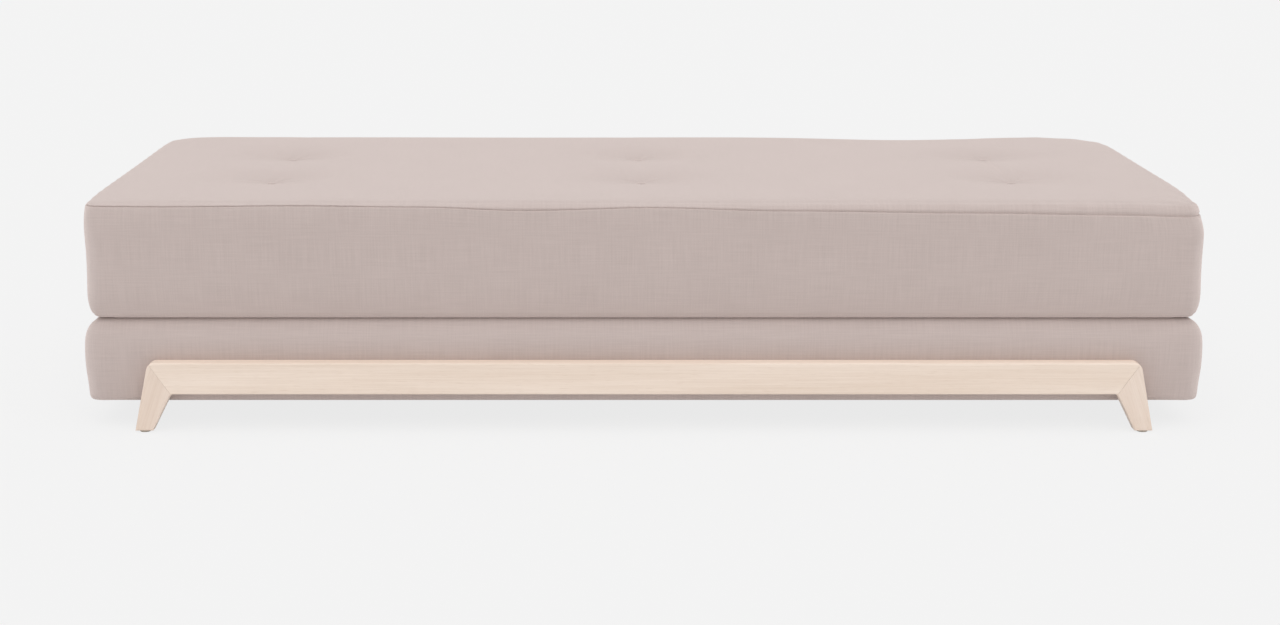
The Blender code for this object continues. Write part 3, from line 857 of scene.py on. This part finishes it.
@dataclass(kw_only=True)
class Mattress(PaddedBlock):
    """The tufted mattress: top and bottom panels sewn to a border, on its puffed core."""

    top_seam: float
    bottom_seam: float
    crown: float
    tufts: Sequence[Pair]
    crown_run: float = 0.12
    end_draw: float = 0.0050

    # How far the edge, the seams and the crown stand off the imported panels
    edge_rise: float = 0.0120
    top_seam_rise: float = 0.0035
    bottom_seam_rise: float = 0.006
    crown_room: float = 0.0020

    # Tufts: troughs along the length, a pinch and gathers at the stitch, the reach of the shade painted into
    # them, and how deep they go
    tuft_depth: float = 0.0097
    tuft_spread: float = 0.056
    tuft_reach: float = 0.100
    tuft_lines: tuple[float, ...] = (0.006, 0.012, 0.020, 0.030, 0.041)
    stitch_radius: float = 0.012
    pinch_depth: float = 0.0004
    pinch_spread: float = 0.018
    gathers: int = 9
    gather_depth: float = 0.0011
    gather_start: float = 0.014
    gather_reach: float = 0.048
    gather_turn: float = 1.7
    tuft_shade_reach: Pair = (0.115, 0.075)
    top_depth: float = 0.030
    top_run: float = 0.010

    # Seams: lines beside them, the reach of their drift, and puckers whose rate along X and Y drifts too
    seam_depth: float = 0.0035
    lower_seam_share: float = 0.4
    seam_lines: tuple[float, ...] = (0.0022, 0.005)
    seam_room: float = 1.3
    seam_reach: float = 0.080
    pucker: float = 0.0006
    pucker_reach: float = 0.022
    pucker_rates: tuple[Pair, ...] = ((157, 11), (149, 13))
    pucker_swing: float = 2
    rim_share: float = 0.95

    # The rear seam's wander: its height, its rate along X and where it starts
    rear_wander: Triple = (0.003, 5.3, 0.8)

    # The dip of the rear edge: its depth, its middle and spread along X, and its start and run along Y
    rear_dip: float = 0.006
    dip_middle: float = 0.575
    dip_spread: float = 0.14
    dip_start: float = 0.12
    dip_run: float = 0.25

    # How each corner gives: its side along X and Y, its move towards the middle and down, and the spread
    slump_height: float = 0.050
    slumps: tuple[tuple[float, float, Triple, float], ...] = (
        (1, -1, (0.010, 0.005, 0.003), 0.085),
        (-1, -1, (0.005, 0.003, 0.002), 0.060),
        (1, 1, (0.001, 0.002, 0.007), 0.060),
        (-1, 1, (0.001, 0.002, 0.004), 0.045),
    )

    # Places along the length, and how far the front seam rides above or below its mean height there
    seam_path: tuple[Pair, ...] = (
        (-1.00, 0.0065),
        (-0.84, 0.0045),
        (-0.62, 0.0062),
        (-0.40, 0.004),
        (-0.21, -0.0025),
        (0.01, 0.003),
        (0.25, -0.003),
        (0.57, -0.007),
        (0.82, -0.0105),
        (1.00, -0.0125),
    )

    @classmethod
    def from_frame(cls) -> "Mattress":
        """Takes the mattress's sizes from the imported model.

        Returns:
            A mattress ready to build.
        """
        low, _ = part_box("mattress_bottom_panel")
        _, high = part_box("mattress_border")
        _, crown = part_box("mattress_top_panel")
        base_low, base_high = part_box("base_cover")
        edge = high.z + cls.edge_rise
        return cls(
            name="mattress",
            length=base_high.x - base_low.x,
            depth=base_high.y - base_low.y,
            bottom=low.z,
            top=edge,
            plan_radius=0.030,
            top_round=(0.010, 0.012),
            bottom_round=(0.022, 0.042),
            draw_in=0.002,
            top_seam=high.z + cls.top_seam_rise,
            bottom_seam=low.z + cls.bottom_seam_rise,
            crown=crown.z - edge - cls.crown_room,
            tufts=[plan_middle(f"tuft_button_{number}") for number in TUFT_NUMBERS],
        )

    def across_lines(self, axis: int) -> list[float]:
        """Adds closer lines through and round the tufts.

        Args:
            axis: 0 for lines along the length, 1 for lines along the depth.

        Returns:
            All division lines in that direction.
        """
        middles = sorted({round(tuft[axis], 6) for tuft in self.tufts})
        room = self.tuft_lines[-1] + self.cell / 2
        return closer_lines(super().across_lines(axis), middles, self.tuft_lines, room)

    def height_lines(self) -> list[float]:
        """Adds lines along and beside the two seams."""
        room, seams = self.seam_lines[-1] * self.seam_room, (self.top_seam, self.bottom_seam)
        return closer_lines(super().height_lines(), seams, self.seam_lines, room)

    def panel_seam(self) -> float:
        """The top panel ends at the upper seam."""
        return self.top_seam

    def drifted(self) -> Array:
        """Lets the upper seam wander along the sides as hand-sewn seams do.

        Returns:
            The height of each point.
        """
        x, y, z = self.flat.T
        stations, offsets = np.array(self.seam_path).T
        index = np.clip(np.searchsorted(stations, x) - 1, 0, len(stations) - 2)
        share = (x - stations[index]) / (stations[index + 1] - stations[index])
        front = offsets[index] + (offsets[index + 1] - offsets[index]) * smooth(share)
        height, rate, start = self.rear_wander
        rear = height * np.sin(rate * x + start)
        back = y / self.depth + 0.5
        drift = front * (1 - back) + rear * back
        above = 1 - (z - self.top_seam) / (self.top - self.top_seam)
        below = 1 - (self.top_seam - z) / self.seam_reach
        weight = np.where(z > self.top_seam, above, smooth(below))
        return z + drift * np.clip(weight, 0, 1)

    def pressed(self) -> Array:
        """Lets the corners slump and the rear edge dip a little, as on a used mattress.

        Returns:
            The places of all points.
        """
        placed = super().pressed()
        x, y, z = self.flat.T
        upper = smooth((z - self.top + self.slump_height) / self.slump_height)
        for side_x, side_y, (inward_x, inward_y, down), spread in self.slumps:
            corner = (x - side_x * self.length / 2) ** 2 + (y - side_y * self.depth / 2) ** 2
            near = np.exp(-corner / (2 * spread**2)) * upper
            placed -= np.array((side_x * inward_x, side_y * inward_y, down)) * near[:, None]
        along = np.exp(-((x - self.dip_middle) ** 2) / (2 * self.dip_spread**2))
        placed[:, 2] -= self.rear_dip * along * smooth((y - self.dip_start) / self.dip_run) * upper
        return placed

    def side_inset(self, z: Array) -> Array:
        """Draws the ends in a little at mid-height, where the stuffing pushes them out again."""
        up = np.clip((z - self.bottom) / (self.top - self.bottom), 0, 1)
        return super().side_inset(z) + np.outer(self.end_draw * np.sin(math.pi * up), (1, 0))

    def rise(self, placed: Array) -> Array:
        """The top's crown, less the tufts.

        Args:
            placed: Where the points are.

        Returns:
            The height that each point gains.
        """
        height = np.full(len(placed), self.crown)
        for axis, size in ((0, self.length), (1, self.depth)):
            inward = size / 2 - self.top_round[0] - np.abs(placed[:, axis])
            share = np.clip(inward / self.crown_run, 0, 1)
            height *= share * (2 - share)
        for x, y in self.tufts:
            along, across = placed[:, 0] - x, placed[:, 1] - y
            trough = (along / self.tuft_reach) ** 4 + (across / self.tuft_spread) ** 2 / 2
            height -= self.tuft_depth * np.exp(-trough)
            height -= self.pinch_depth * np.exp(-(along**2 + across**2) / (2 * self.pinch_spread**2))
        return np.where(self.flat[:, 2] > self.top - MERGE, height, 0.0)

    def on_seam(self) -> Array:
        """Which points lie on the upper or the lower seam."""
        z = self.flat[:, 2]
        return (np.abs(z - self.top_seam) < MERGE) | (np.abs(z - self.bottom_seam) < MERGE)

    def held(self) -> Array:
        """The seams, the tufts and the underside stay where they are.

        Returns:
            One for each point that stays, and zero for the others.
        """
        x, y, z = self.flat.T
        fixed = self.on_seam() | (z < self.bottom_seam)
        for tuft_x, tuft_y in self.tufts:
            near = (x - tuft_x) ** 2 + (y - tuft_y) ** 2 < self.stitch_radius**2
            fixed |= near & (z > self.top - MERGE)
        return fixed.astype(float)

    def creased(self) -> Array:
        """Both seams are sewn, the lower one closer to the edge and flatter."""
        upper = self.flat[:, 2] > (self.top + self.bottom) / 2
        return np.where(self.on_seam(), np.where(upper, 1.0, self.lower_seam_share), 0.0)

    def sew(self, obj: Object) -> None:
        """Sews the seams, puckers the upper one, gathers the cloth round each tuft and marks painted shade
        there.

        Args:
            obj: The puffed block.
        """
        super().sew(obj)
        places = coordinates(obj.data)
        z = places[:, 2]
        near = np.exp(-(((z - self.top_seam) / self.pucker_reach) ** 2))
        waves = np.zeros(len(places))
        for place, (rate, drift) in zip(places.T, self.pucker_rates):
            waves += np.sin(rate * place + self.pucker_swing * np.sin(drift * place))
        outward = places[:, :2] / np.array((self.length, self.depth)) * 2
        rim = np.abs(outward) > self.rim_share
        places[:, :2] -= np.sign(outward) * rim * (self.pucker * near * waves)[:, None]
        upper = smooth((z - self.top + self.top_depth) / self.top_run)
        crushed = np.zeros(len(places))
        for number, (x, y) in enumerate(self.tufts):
            along, across = places[:, 0] - x, places[:, 1] - y
            away, turn = np.hypot(along, across), np.arctan2(across, along)
            folds = self.gathers * turn + self.gather_turn * number + np.sin(2 * turn)
            reach = smooth(away / self.gather_start) * np.exp(-((away / self.gather_reach) ** 2))
            places[:, 2] -= self.gather_depth * (0.5 + 0.5 * np.cos(folds)) ** 2 * reach * upper
            # Painted shade in each tuft hollow, marked on the points for the cloth's colour
            patch = (along / self.tuft_shade_reach[0]) ** 2 + (across / self.tuft_shade_reach[1]) ** 2
            crushed += np.exp(-patch) * upper
        set_coordinates(obj.data, places)
        mark_points(obj.data, PAINTED_TUFT_SHADE, crushed)


@dataclass(kw_only=True)
class BaseUpholstery(PaddedBlock):
    """The padded base: one cover drawn over pad and wadding and turned under at the bottom."""

    bulge: float
    rail_top: float
    rail_reach: float
    bulge_drop: float = 0.045
    rail_room: float = 0.004
    taper: float = 0.011
    end_spread: float = 0.002
    end_fullness: float = 0.005
    hem_drop: float = 0.0045
    hem_width: float = 0.020

    @classmethod
    def from_frame(cls) -> "BaseUpholstery":
        """Takes the base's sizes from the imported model.

        Returns:
            A base ready to build.
        """
        low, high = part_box("base_cover")
        _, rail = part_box("front_rail")
        _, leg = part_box("front_right_leg")
        return cls(
            name="base_upholstery",
            length=high.x - low.x,
            depth=high.y - low.y,
            bottom=low.z,
            top=high.z,
            plan_radius=0.028,
            top_round=(0.026, 0.040),
            bottom_round=(0.006, 0.008),
            bulge=high.z - cls.bulge_drop,
            rail_top=rail.z + cls.rail_room,
            rail_reach=leg.x,
        )

    def side_inset(self, z: Array) -> Array:
        """Brings the long sides in towards the underside, and swells the ends.

        Args:
            z: The height of each point.

        Returns:
            The inset of the ends and of the long sides at each point.
        """
        inset = super().side_inset(z)
        share = np.clip((self.bulge - z) / (self.bulge - self.bottom), 0, 1)
        up = (z - self.bottom) / (self.top - self.bottom)
        inset[:, 0] -= self.end_spread + self.end_fullness * np.sin(math.pi * up)
        inset[:, 1] += self.taper * share**2
        return inset

    def rise(self, placed: Array) -> Array:
        """The cover's turned-under edge hangs a little lower than the middle of the underside.

        Args:
            placed: Where the points are; not used.

        Returns:
            The height that each point gains.
        """
        halves = np.array((self.length, self.depth)) / 2
        inward = (halves - np.abs(self.flat[:, :2])).min(axis=1)
        low = 1 - smooth((self.flat[:, 2] - self.bottom) / self.hem_width)
        return -self.hem_drop * low * (1 - smooth(inward / self.hem_width))

    def held(self) -> Array:
        """The top, the underside and what lies behind the rails stay where they are.

        Returns:
            One for each point that stays, and zero for the others.
        """
        x, y, z = self.flat.T
        behind = (z < self.rail_top) & (np.abs(x) < self.rail_reach)
        behind &= np.abs(y) > self.depth / 2 - MERGE
        ends = (z < self.bottom + MERGE) | (z > self.top - MERGE)
        return (behind | ends).astype(float)


# Small cloth pieces and fittings


@dataclass
class HingeStrap:
    """The strip of webbing that joins base and mattress.

    It lies on the base. Its front edge turns up to the hinge line, where the mattress's lower seam holds it.
    """

    low: Vector
    high: Vector
    hinge_y: float
    hinge_z: float
    bend: float = 0.004
    hem: float = 0.010
    hem_run: float = 0.003
    fold: float = 0.0003
    thickness: float = 0.0006
    cells: tuple[int, int] = (190, 40)

    @classmethod
    def from_frame(cls, joints: Sequence[dict[str, Any]]) -> "HingeStrap":
        """Takes the strap's place from its node, and the hinge line from the joints."""
        hinge = next(joint["pos_m"] for joint in joints if joint["name"] == "mattress_fold")
        return cls(*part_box("hinge_strap"), *hinge[1:])

    def turned_up(self) -> Pair:
        """Works out how the front edge turns up.

        Returns:
            The angle at which it turns up, and how long it is from bend to hinge line.
        """
        across, up = self.low.y - self.hinge_y, self.hinge_z - self.low.z - self.bend
        away = math.hypot(across, up)
        angle = math.asin(self.bend / away) + math.atan2(up, across)
        return angle, self.bend * angle + math.sqrt(away**2 - self.bend**2)

    def flat_size(self) -> Pair:
        """The width and length that the strip is cut to."""
        return (self.high.y - self.low.y + self.turned_up()[1], self.high.x - self.low.x)

    def build(self) -> Object:
        """Lays the strip flat, doubles its edges and turns its front edge up.

        Returns:
            The finished object.
        """
        width, length = self.flat_size()
        front = self.high.y - width
        place = ((self.low.x + self.high.x) / 2, front + width / 2, self.low.z + self.thickness)
        obj = new_sheet("hinge_webbing", (length, width), place, self.cells)
        modify(obj, "SOLIDIFY", thickness=self.thickness, offset=-1)
        places = coordinates(obj.data)
        edge = np.minimum(places[:, 1] - front, self.high.y - places[:, 1])
        doubled = 1 - smooth((edge - self.hem) / self.hem_run)
        height = places[:, 2] - self.low.z
        height += np.where(height > self.thickness / 2, self.fold * doubled, 0.0)
        run = np.maximum(self.low.y - places[:, 1], 0)
        turn = np.minimum(run / self.bend, self.turned_up()[0])
        straight = run - self.bend * turn
        forward = self.bend * np.sin(turn) + straight * np.cos(turn) - height * np.sin(turn)
        places[:, 1] += run - forward
        upward = self.bend * (1 - np.cos(turn)) + straight * np.sin(turn)
        places[:, 2] = self.low.z + upward + height * np.cos(turn)
        set_coordinates(obj.data, places)
        return obj


@dataclass
class DustCover:
    """The thin lining stapled under the base, slack in the middle."""

    sag: float = 0.0025
    slack_power: float = 0.6
    ripple: float = 0.0005
    ripple_reach: float = 0.06
    level_edge: float = 0.98
    thickness: float = 0.0004
    cell: float = 0.020
    staple_pitch: float = 0.070
    staple_inset: float = 0.012
    staple: Triple = (0.0115, 0.0012, 0.0007)
    staple_round: float = 0.45

    def build(self) -> Object:
        """Hangs the lining under the base.

        Returns:
            The finished object.
        """
        low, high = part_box("dust_cover")
        size = high - low
        cells = (round(size.x / self.cell), round(size.y / self.cell))
        place = (*plan_middle("dust_cover"), high.z)
        obj = new_sheet("dust_lining", (size.x, size.y), place, cells)
        places = coordinates(obj.data)
        share = places[:, :2] / np.array((size.x, size.y)) * 2
        slack = ((1 - share**2) ** self.slack_power).prod(axis=1)
        waves = np.cos(places[:, :2] * (2 * math.pi / self.staple_pitch)).prod(axis=1)
        edge = np.exp(-(1 - np.abs(share).max(axis=1)) / self.ripple_reach)
        places[:, 2] -= self.sag * slack + self.ripple * (1 - waves) * edge * (edge < self.level_edge)
        set_coordinates(obj.data, places)
        modify(obj, "SOLIDIFY", thickness=self.thickness, offset=-1)
        bpy.ops.object.shade_smooth()
        return obj

    def staple_places(self) -> list[Matrix]:
        """Spaces the staples round the edge, each along it.

        Returns:
            The place of each staple.
        """
        _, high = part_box("dust_cover")
        reach = Vector((high.x, high.y)) - Vector((self.staple_inset, self.staple_inset))
        level = high.z - self.thickness - self.staple[2] / 2
        places = []
        for along, across in ((0, 1), (1, 0)):
            turn = Matrix.Rotation(math.radians(90) * along, 4, "Z")
            count = round(2 * reach[along] / self.staple_pitch)
            for step in np.linspace(-reach[along], reach[along], count + 1)[1:-1]:
                for side in (-1, 1):
                    place = Vector((0, 0, level))
                    place[along] = step
                    place[across] = side * reach[across]
                    places.append(Matrix.Translation(place) @ turn)
        return places

    def build_staples(self) -> Object:
        """Rounds one staple and sets copies of it round the edge.

        Returns:
            All staples as one object.
        """
        name = "dust_lining_staples"
        first = new_primitive(name, bpy.ops.mesh.primitive_cube_add, self.staple, size=1)
        modify(first, "BEVEL", width=self.staple[2] * self.staple_round, segments=2)
        copies = [placed_copy(first, name, place) for place in self.staple_places()]
        bpy.data.objects.remove(first)
        select_only(*copies)
        bpy.ops.object.join()
        joined = bpy.context.active_object
        joined.name = name
        return joined


@dataclass
class TuftButtons:
    """Small buttons covered in the mattress's cloth, one drawn down into each tuft."""

    segments: int = 32
    taper: float = 0.86
    sink: float = 0.62
    # Painted shade on each button, to match the painted shade in the tuft round it
    crushed: float = 0.7

    # Each ring of the crowned top: how far it is inset and lifted, in radii
    rings: tuple[Pair, ...] = ((0.20, 0.08), (0.22, 0.04), (0.20, 0.01), (0.12, -0.01))

    def build_first(self, radius: float, height: float) -> Object:
        """Models one button on the floor of the model.

        Args:
            radius: The button's radius.
            height: Its height.

        Returns:
            The button.
        """
        obj = new_primitive(
            "tuft_button",
            bpy.ops.mesh.primitive_cylinder_add,
            vertices=self.segments,
            radius=radius,
            depth=height,
            location=(0, 0, height / 2),
        )
        bpy.ops.object.mode_set(mode="EDIT")
        bpy.ops.mesh.select_all(action="DESELECT")
        bpy.ops.object.mode_set(mode="OBJECT")
        for face in obj.data.polygons:
            face.select = face.normal.z > FACING
        bpy.ops.object.mode_set(mode="EDIT")
        bpy.ops.transform.resize(value=(self.taper, self.taper, 1))
        bpy.ops.transform.translate(value=(0, 0, -self.sink * height))
        for inset, lift in self.rings:
            bpy.ops.mesh.inset(thickness=inset * radius, depth=lift * radius)
        bpy.ops.object.mode_set(mode="OBJECT")
        modify(obj, "SUBSURF", levels=2, render_levels=2)
        bpy.ops.object.shade_smooth()
        return obj

    def build(self) -> list[Object]:
        """Sets a button in each tuft.

        Returns:
            The buttons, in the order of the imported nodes.
        """
        low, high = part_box("tuft_button_1")
        first = self.build_first((high.x - low.x) / 2, high.z - low.z)
        buttons = []
        for number in TUFT_NUMBERS:
            node = f"tuft_button_{number}"
            place = Matrix.Translation((*plan_middle(node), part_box(node)[0].z))
            button = placed_copy(first, f"covered_button_{number}", place)
            lay_plan_cloth(button)
            # Painted shade on the button's cloth
            mark_points(button.data, PAINTED_TUFT_SHADE, np.full(len(button.data.vertices), self.crushed))
            buttons.append(button)
        bpy.data.objects.remove(first)
        return buttons


# Room


@dataclass(frozen=True)
class PhotoCamera:
    """The camera at the photograph's viewing angle."""

    place: Triple = (-0.0899, -3.8075, 1.0494)
    tilt_down: float = math.radians(12.207)
    lens_mm: float = 55.364
    sensor_mm: float = 36.0
    shift: Pair = (0.0361, -0.0415)

    def build(self) -> None:
        """Adds the camera and makes it the scene's own."""
        data = bpy.data.cameras.new("photo_camera")
        data.lens = self.lens_mm
        data.sensor_width = self.sensor_mm
        data.shift_x, data.shift_y = self.shift
        camera = bpy.data.objects.new("photo_camera", data)
        bpy.context.scene.collection.objects.link(camera)
        camera.location = self.place
        camera.rotation_euler = (math.pi / 2 - self.tilt_down, 0, 0)
        bpy.context.scene.camera = camera


@dataclass(frozen=True)
class Studio:
    """A pale floor under a soft even sky and one broad lamp, high up in front."""

    backdrop: Colour = (243, 243, 243)
    floor_size: float = 80.0
    floor_shine: float = 0.9
    sky: float = 0.635
    lamp: float = 1.34
    lamp_spread: float = math.radians(70)
    lamp_tilt: float = math.radians(21)

    def seen_directly(self, board: NodeBoard) -> NodeSocket:
        """Finds the rays that show the background, straight or through gloss and glass.

        Args:
            board: The board for the nodes.

        Returns:
            One for such rays, and zero for the others.
        """
        path = board.add("ShaderNodeLightPath").outputs
        shown = board.math("MAXIMUM", path["Is Camera Ray"], path["Is Glossy Ray"])
        return board.math("MAXIMUM", shown, path["Is Transmission Ray"])

    def build_sky(self) -> None:
        """Lights everything evenly, and shows the backdrop's colour."""
        world = bpy.data.worlds.new("studio_sky")
        world.use_nodes = True
        world.node_tree.nodes.clear()
        bpy.context.scene.world = world
        board = NodeBoard(world.node_tree)
        light = board.add("ShaderNodeBackground", {"Color": (1, 1, 1, 1), "Strength": self.sky})
        shown = board.add("ShaderNodeBackground", {"Color": linear(self.backdrop), "Strength": 1.0})
        inputs = {0: self.seen_directly(board), 1: light.outputs[0], 2: shown.outputs[0]}
        mix = board.add("ShaderNodeMixShader", inputs)
        board.add("ShaderNodeOutputWorld", {"Surface": mix.outputs[0]})

    def build_lamp(self) -> None:
        """Hangs the broad lamp above the object, a little in front of it."""
        data = bpy.data.lights.new("top_lamp", "SUN")
        data.energy = self.lamp
        data.angle = self.lamp_spread
        lamp = bpy.data.objects.new("top_lamp", data)
        bpy.context.scene.collection.objects.link(lamp)
        lamp.rotation_euler = (self.lamp_tilt, 0, 0)

    def build_floor(self) -> None:
        """Lays the floor, which keeps a soft shadow."""
        floor = new_primitive("studio_floor", bpy.ops.mesh.primitive_plane_add, size=self.floor_size)
        material = bpy.data.materials.new("studio_floor")
        material.use_nodes = True
        board = NodeBoard(material.node_tree)
        nodes = material.node_tree.nodes
        colour = linear(self.backdrop)
        matt = {"Base Color": colour, "Roughness": 1.0, "Specular IOR Level": 0.0}
        board.feed(nodes["Principled BSDF"], matt)
        shine = board.add("ShaderNodeEmission", {"Color": colour, "Strength": 1.0})
        share = board.math("MULTIPLY", self.seen_directly(board), self.floor_shine)
        inputs = {0: share, 1: nodes["Principled BSDF"].outputs[0], 2: shine.outputs[0]}
        mix = board.add("ShaderNodeMixShader", inputs)
        board.feed(nodes["Material Output"], {"Surface": mix.outputs[0]})
        dress(floor, material)

    def build(self) -> None:
        """Sets up sky, lamp, floor and the plain colour view."""
        self.build_sky()
        self.build_lamp()
        self.build_floor()
        bpy.context.scene.view_settings.view_transform = "Standard"


# Assembly


def dress(obj: Object, material: Material) -> None:
    """Gives an object one material all over."""
    obj.data.materials.clear()
    obj.data.materials.append(material)


def add_piece(obj: Object, body: Body, material: Material, nodes: Sequence[str]) -> None:
    """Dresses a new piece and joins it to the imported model.

    Args:
        obj: The new piece.
        body: The body that it rides on.
        material: Its finish.
        nodes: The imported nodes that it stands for.
    """
    dress(obj, material)
    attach(obj, body.value)
    if nodes:
        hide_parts(*nodes)
    LOG.info("%s: %d faces on %s", obj.name, len(obj.data.polygons), body.value)


@dataclass(frozen=True)
class Dresser:
    """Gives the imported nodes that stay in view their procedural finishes."""

    rail: Finish = TimberFinish("pale_wood_rail", (231, 212, 195), (246, 230, 216))
    left_leg: Finish = TimberFinish("pale_wood_left_leg", *LEG_TONES, way=GrainWay.LEFT_LEG)
    right_leg: Finish = TimberFinish("pale_wood_right_leg", *LEG_TONES, way=GrainWay.RIGHT_LEG)
    long_board: Finish = TimberFinish("frame_timber_long", *FRAME_TONES, pore=FRAME_PORE)
    cross_board: Finish = TimberFinish(
        "frame_timber_cross", *FRAME_TONES, way=GrainWay.DEPTH, pore=FRAME_PORE
    )
    glide: Finish = MattedFinish("felt", (168, 158, 146), (196, 186, 174))
    tie: Finish = MattedFinish("twine", (208, 197, 176), (234, 225, 206), specks=1500.0)

    def finish_for(self, name: str) -> str:
        """Picks the finish of a node by its name.

        Args:
            name: The node's name.

        Returns:
            The name of its finish.
        """
        for part in ("rail", "left_leg", "right_leg", "glide"):
            if name.endswith(part):
                return part
        for part in ("bolt", "tie"):
            if part in name:
                return part
        across = name.startswith(("slat", "left_board", "right_board")) or name.endswith("brace")
        return "cross_board" if across else "long_board"

    def dress_all(self, effects: Effects, nodes: dict[str, Object], zinc: Material) -> None:
        """Dresses every node that no new piece stands for.

        Args:
            effects: The shared node groups.
            nodes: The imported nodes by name.
            zinc: The finish of their bolts.
        """
        materials = {name: finish.material(effects) for name, finish in vars(self).items()}
        materials["bolt"] = zinc
        for name, node in nodes.items():
            if not node.hide_render:
                dress(node, materials[self.finish_for(name)])


def main() -> None:
    """Builds the dressed sofa bed and the room around it."""
    logging.basicConfig(level=logging.INFO, format="%(message)s")
    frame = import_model()
    PhotoCamera().build()
    Studio().build()
    effects = Effects()
    linen = WovenFinish("linen", (181, 166, 161), (201, 186, 181)).material(effects)
    webbing = WovenFinish("webbing", (168, 152, 147), (189, 173, 167), threads=340.0).material(effects)
    lining = MattedFinish("underlining", (38, 38, 40), (56, 56, 58), specks=1400.0).material(effects)
    plating = {"roughness": 0.42, "relief_depth": 0.0001, "metallic": 1.0, "specks": 400.0}
    zinc = MattedFinish("zinc", (176, 178, 181), (200, 202, 204), **plating).material(effects)

    mattress = Mattress.from_frame().build()
    panels = ("mattress_core", "mattress_top_panel", "mattress_border", "mattress_bottom_panel")
    add_piece(mattress, Body.MATTRESS, linen, panels)

    base = BaseUpholstery.from_frame().build()
    add_piece(base, Body.BASE, linen, ("base_pad", "base_wrap", "base_cover"))

    for number, button in zip(TUFT_NUMBERS, TuftButtons().build()):
        add_piece(button, Body.MATTRESS, linen, (f"tuft_button_{number}",))

    webbing_strip = HingeStrap.from_frame(frame["joints"])
    strap = webbing_strip.build()
    add_piece(strap, Body.STRAP, webbing, ("hinge_strap",))
    webbing_strip.flat_size()

    cover = DustCover()
    dust_lining = cover.build()
    staples = cover.build_staples()
    add_piece(dust_lining, Body.BASE, lining, ("dust_cover",))
    add_piece(staples, Body.BASE, zinc, ())

    Dresser().dress_all(effects, frame["nodes"], zinc)


if __name__ == "__main__":
    main()
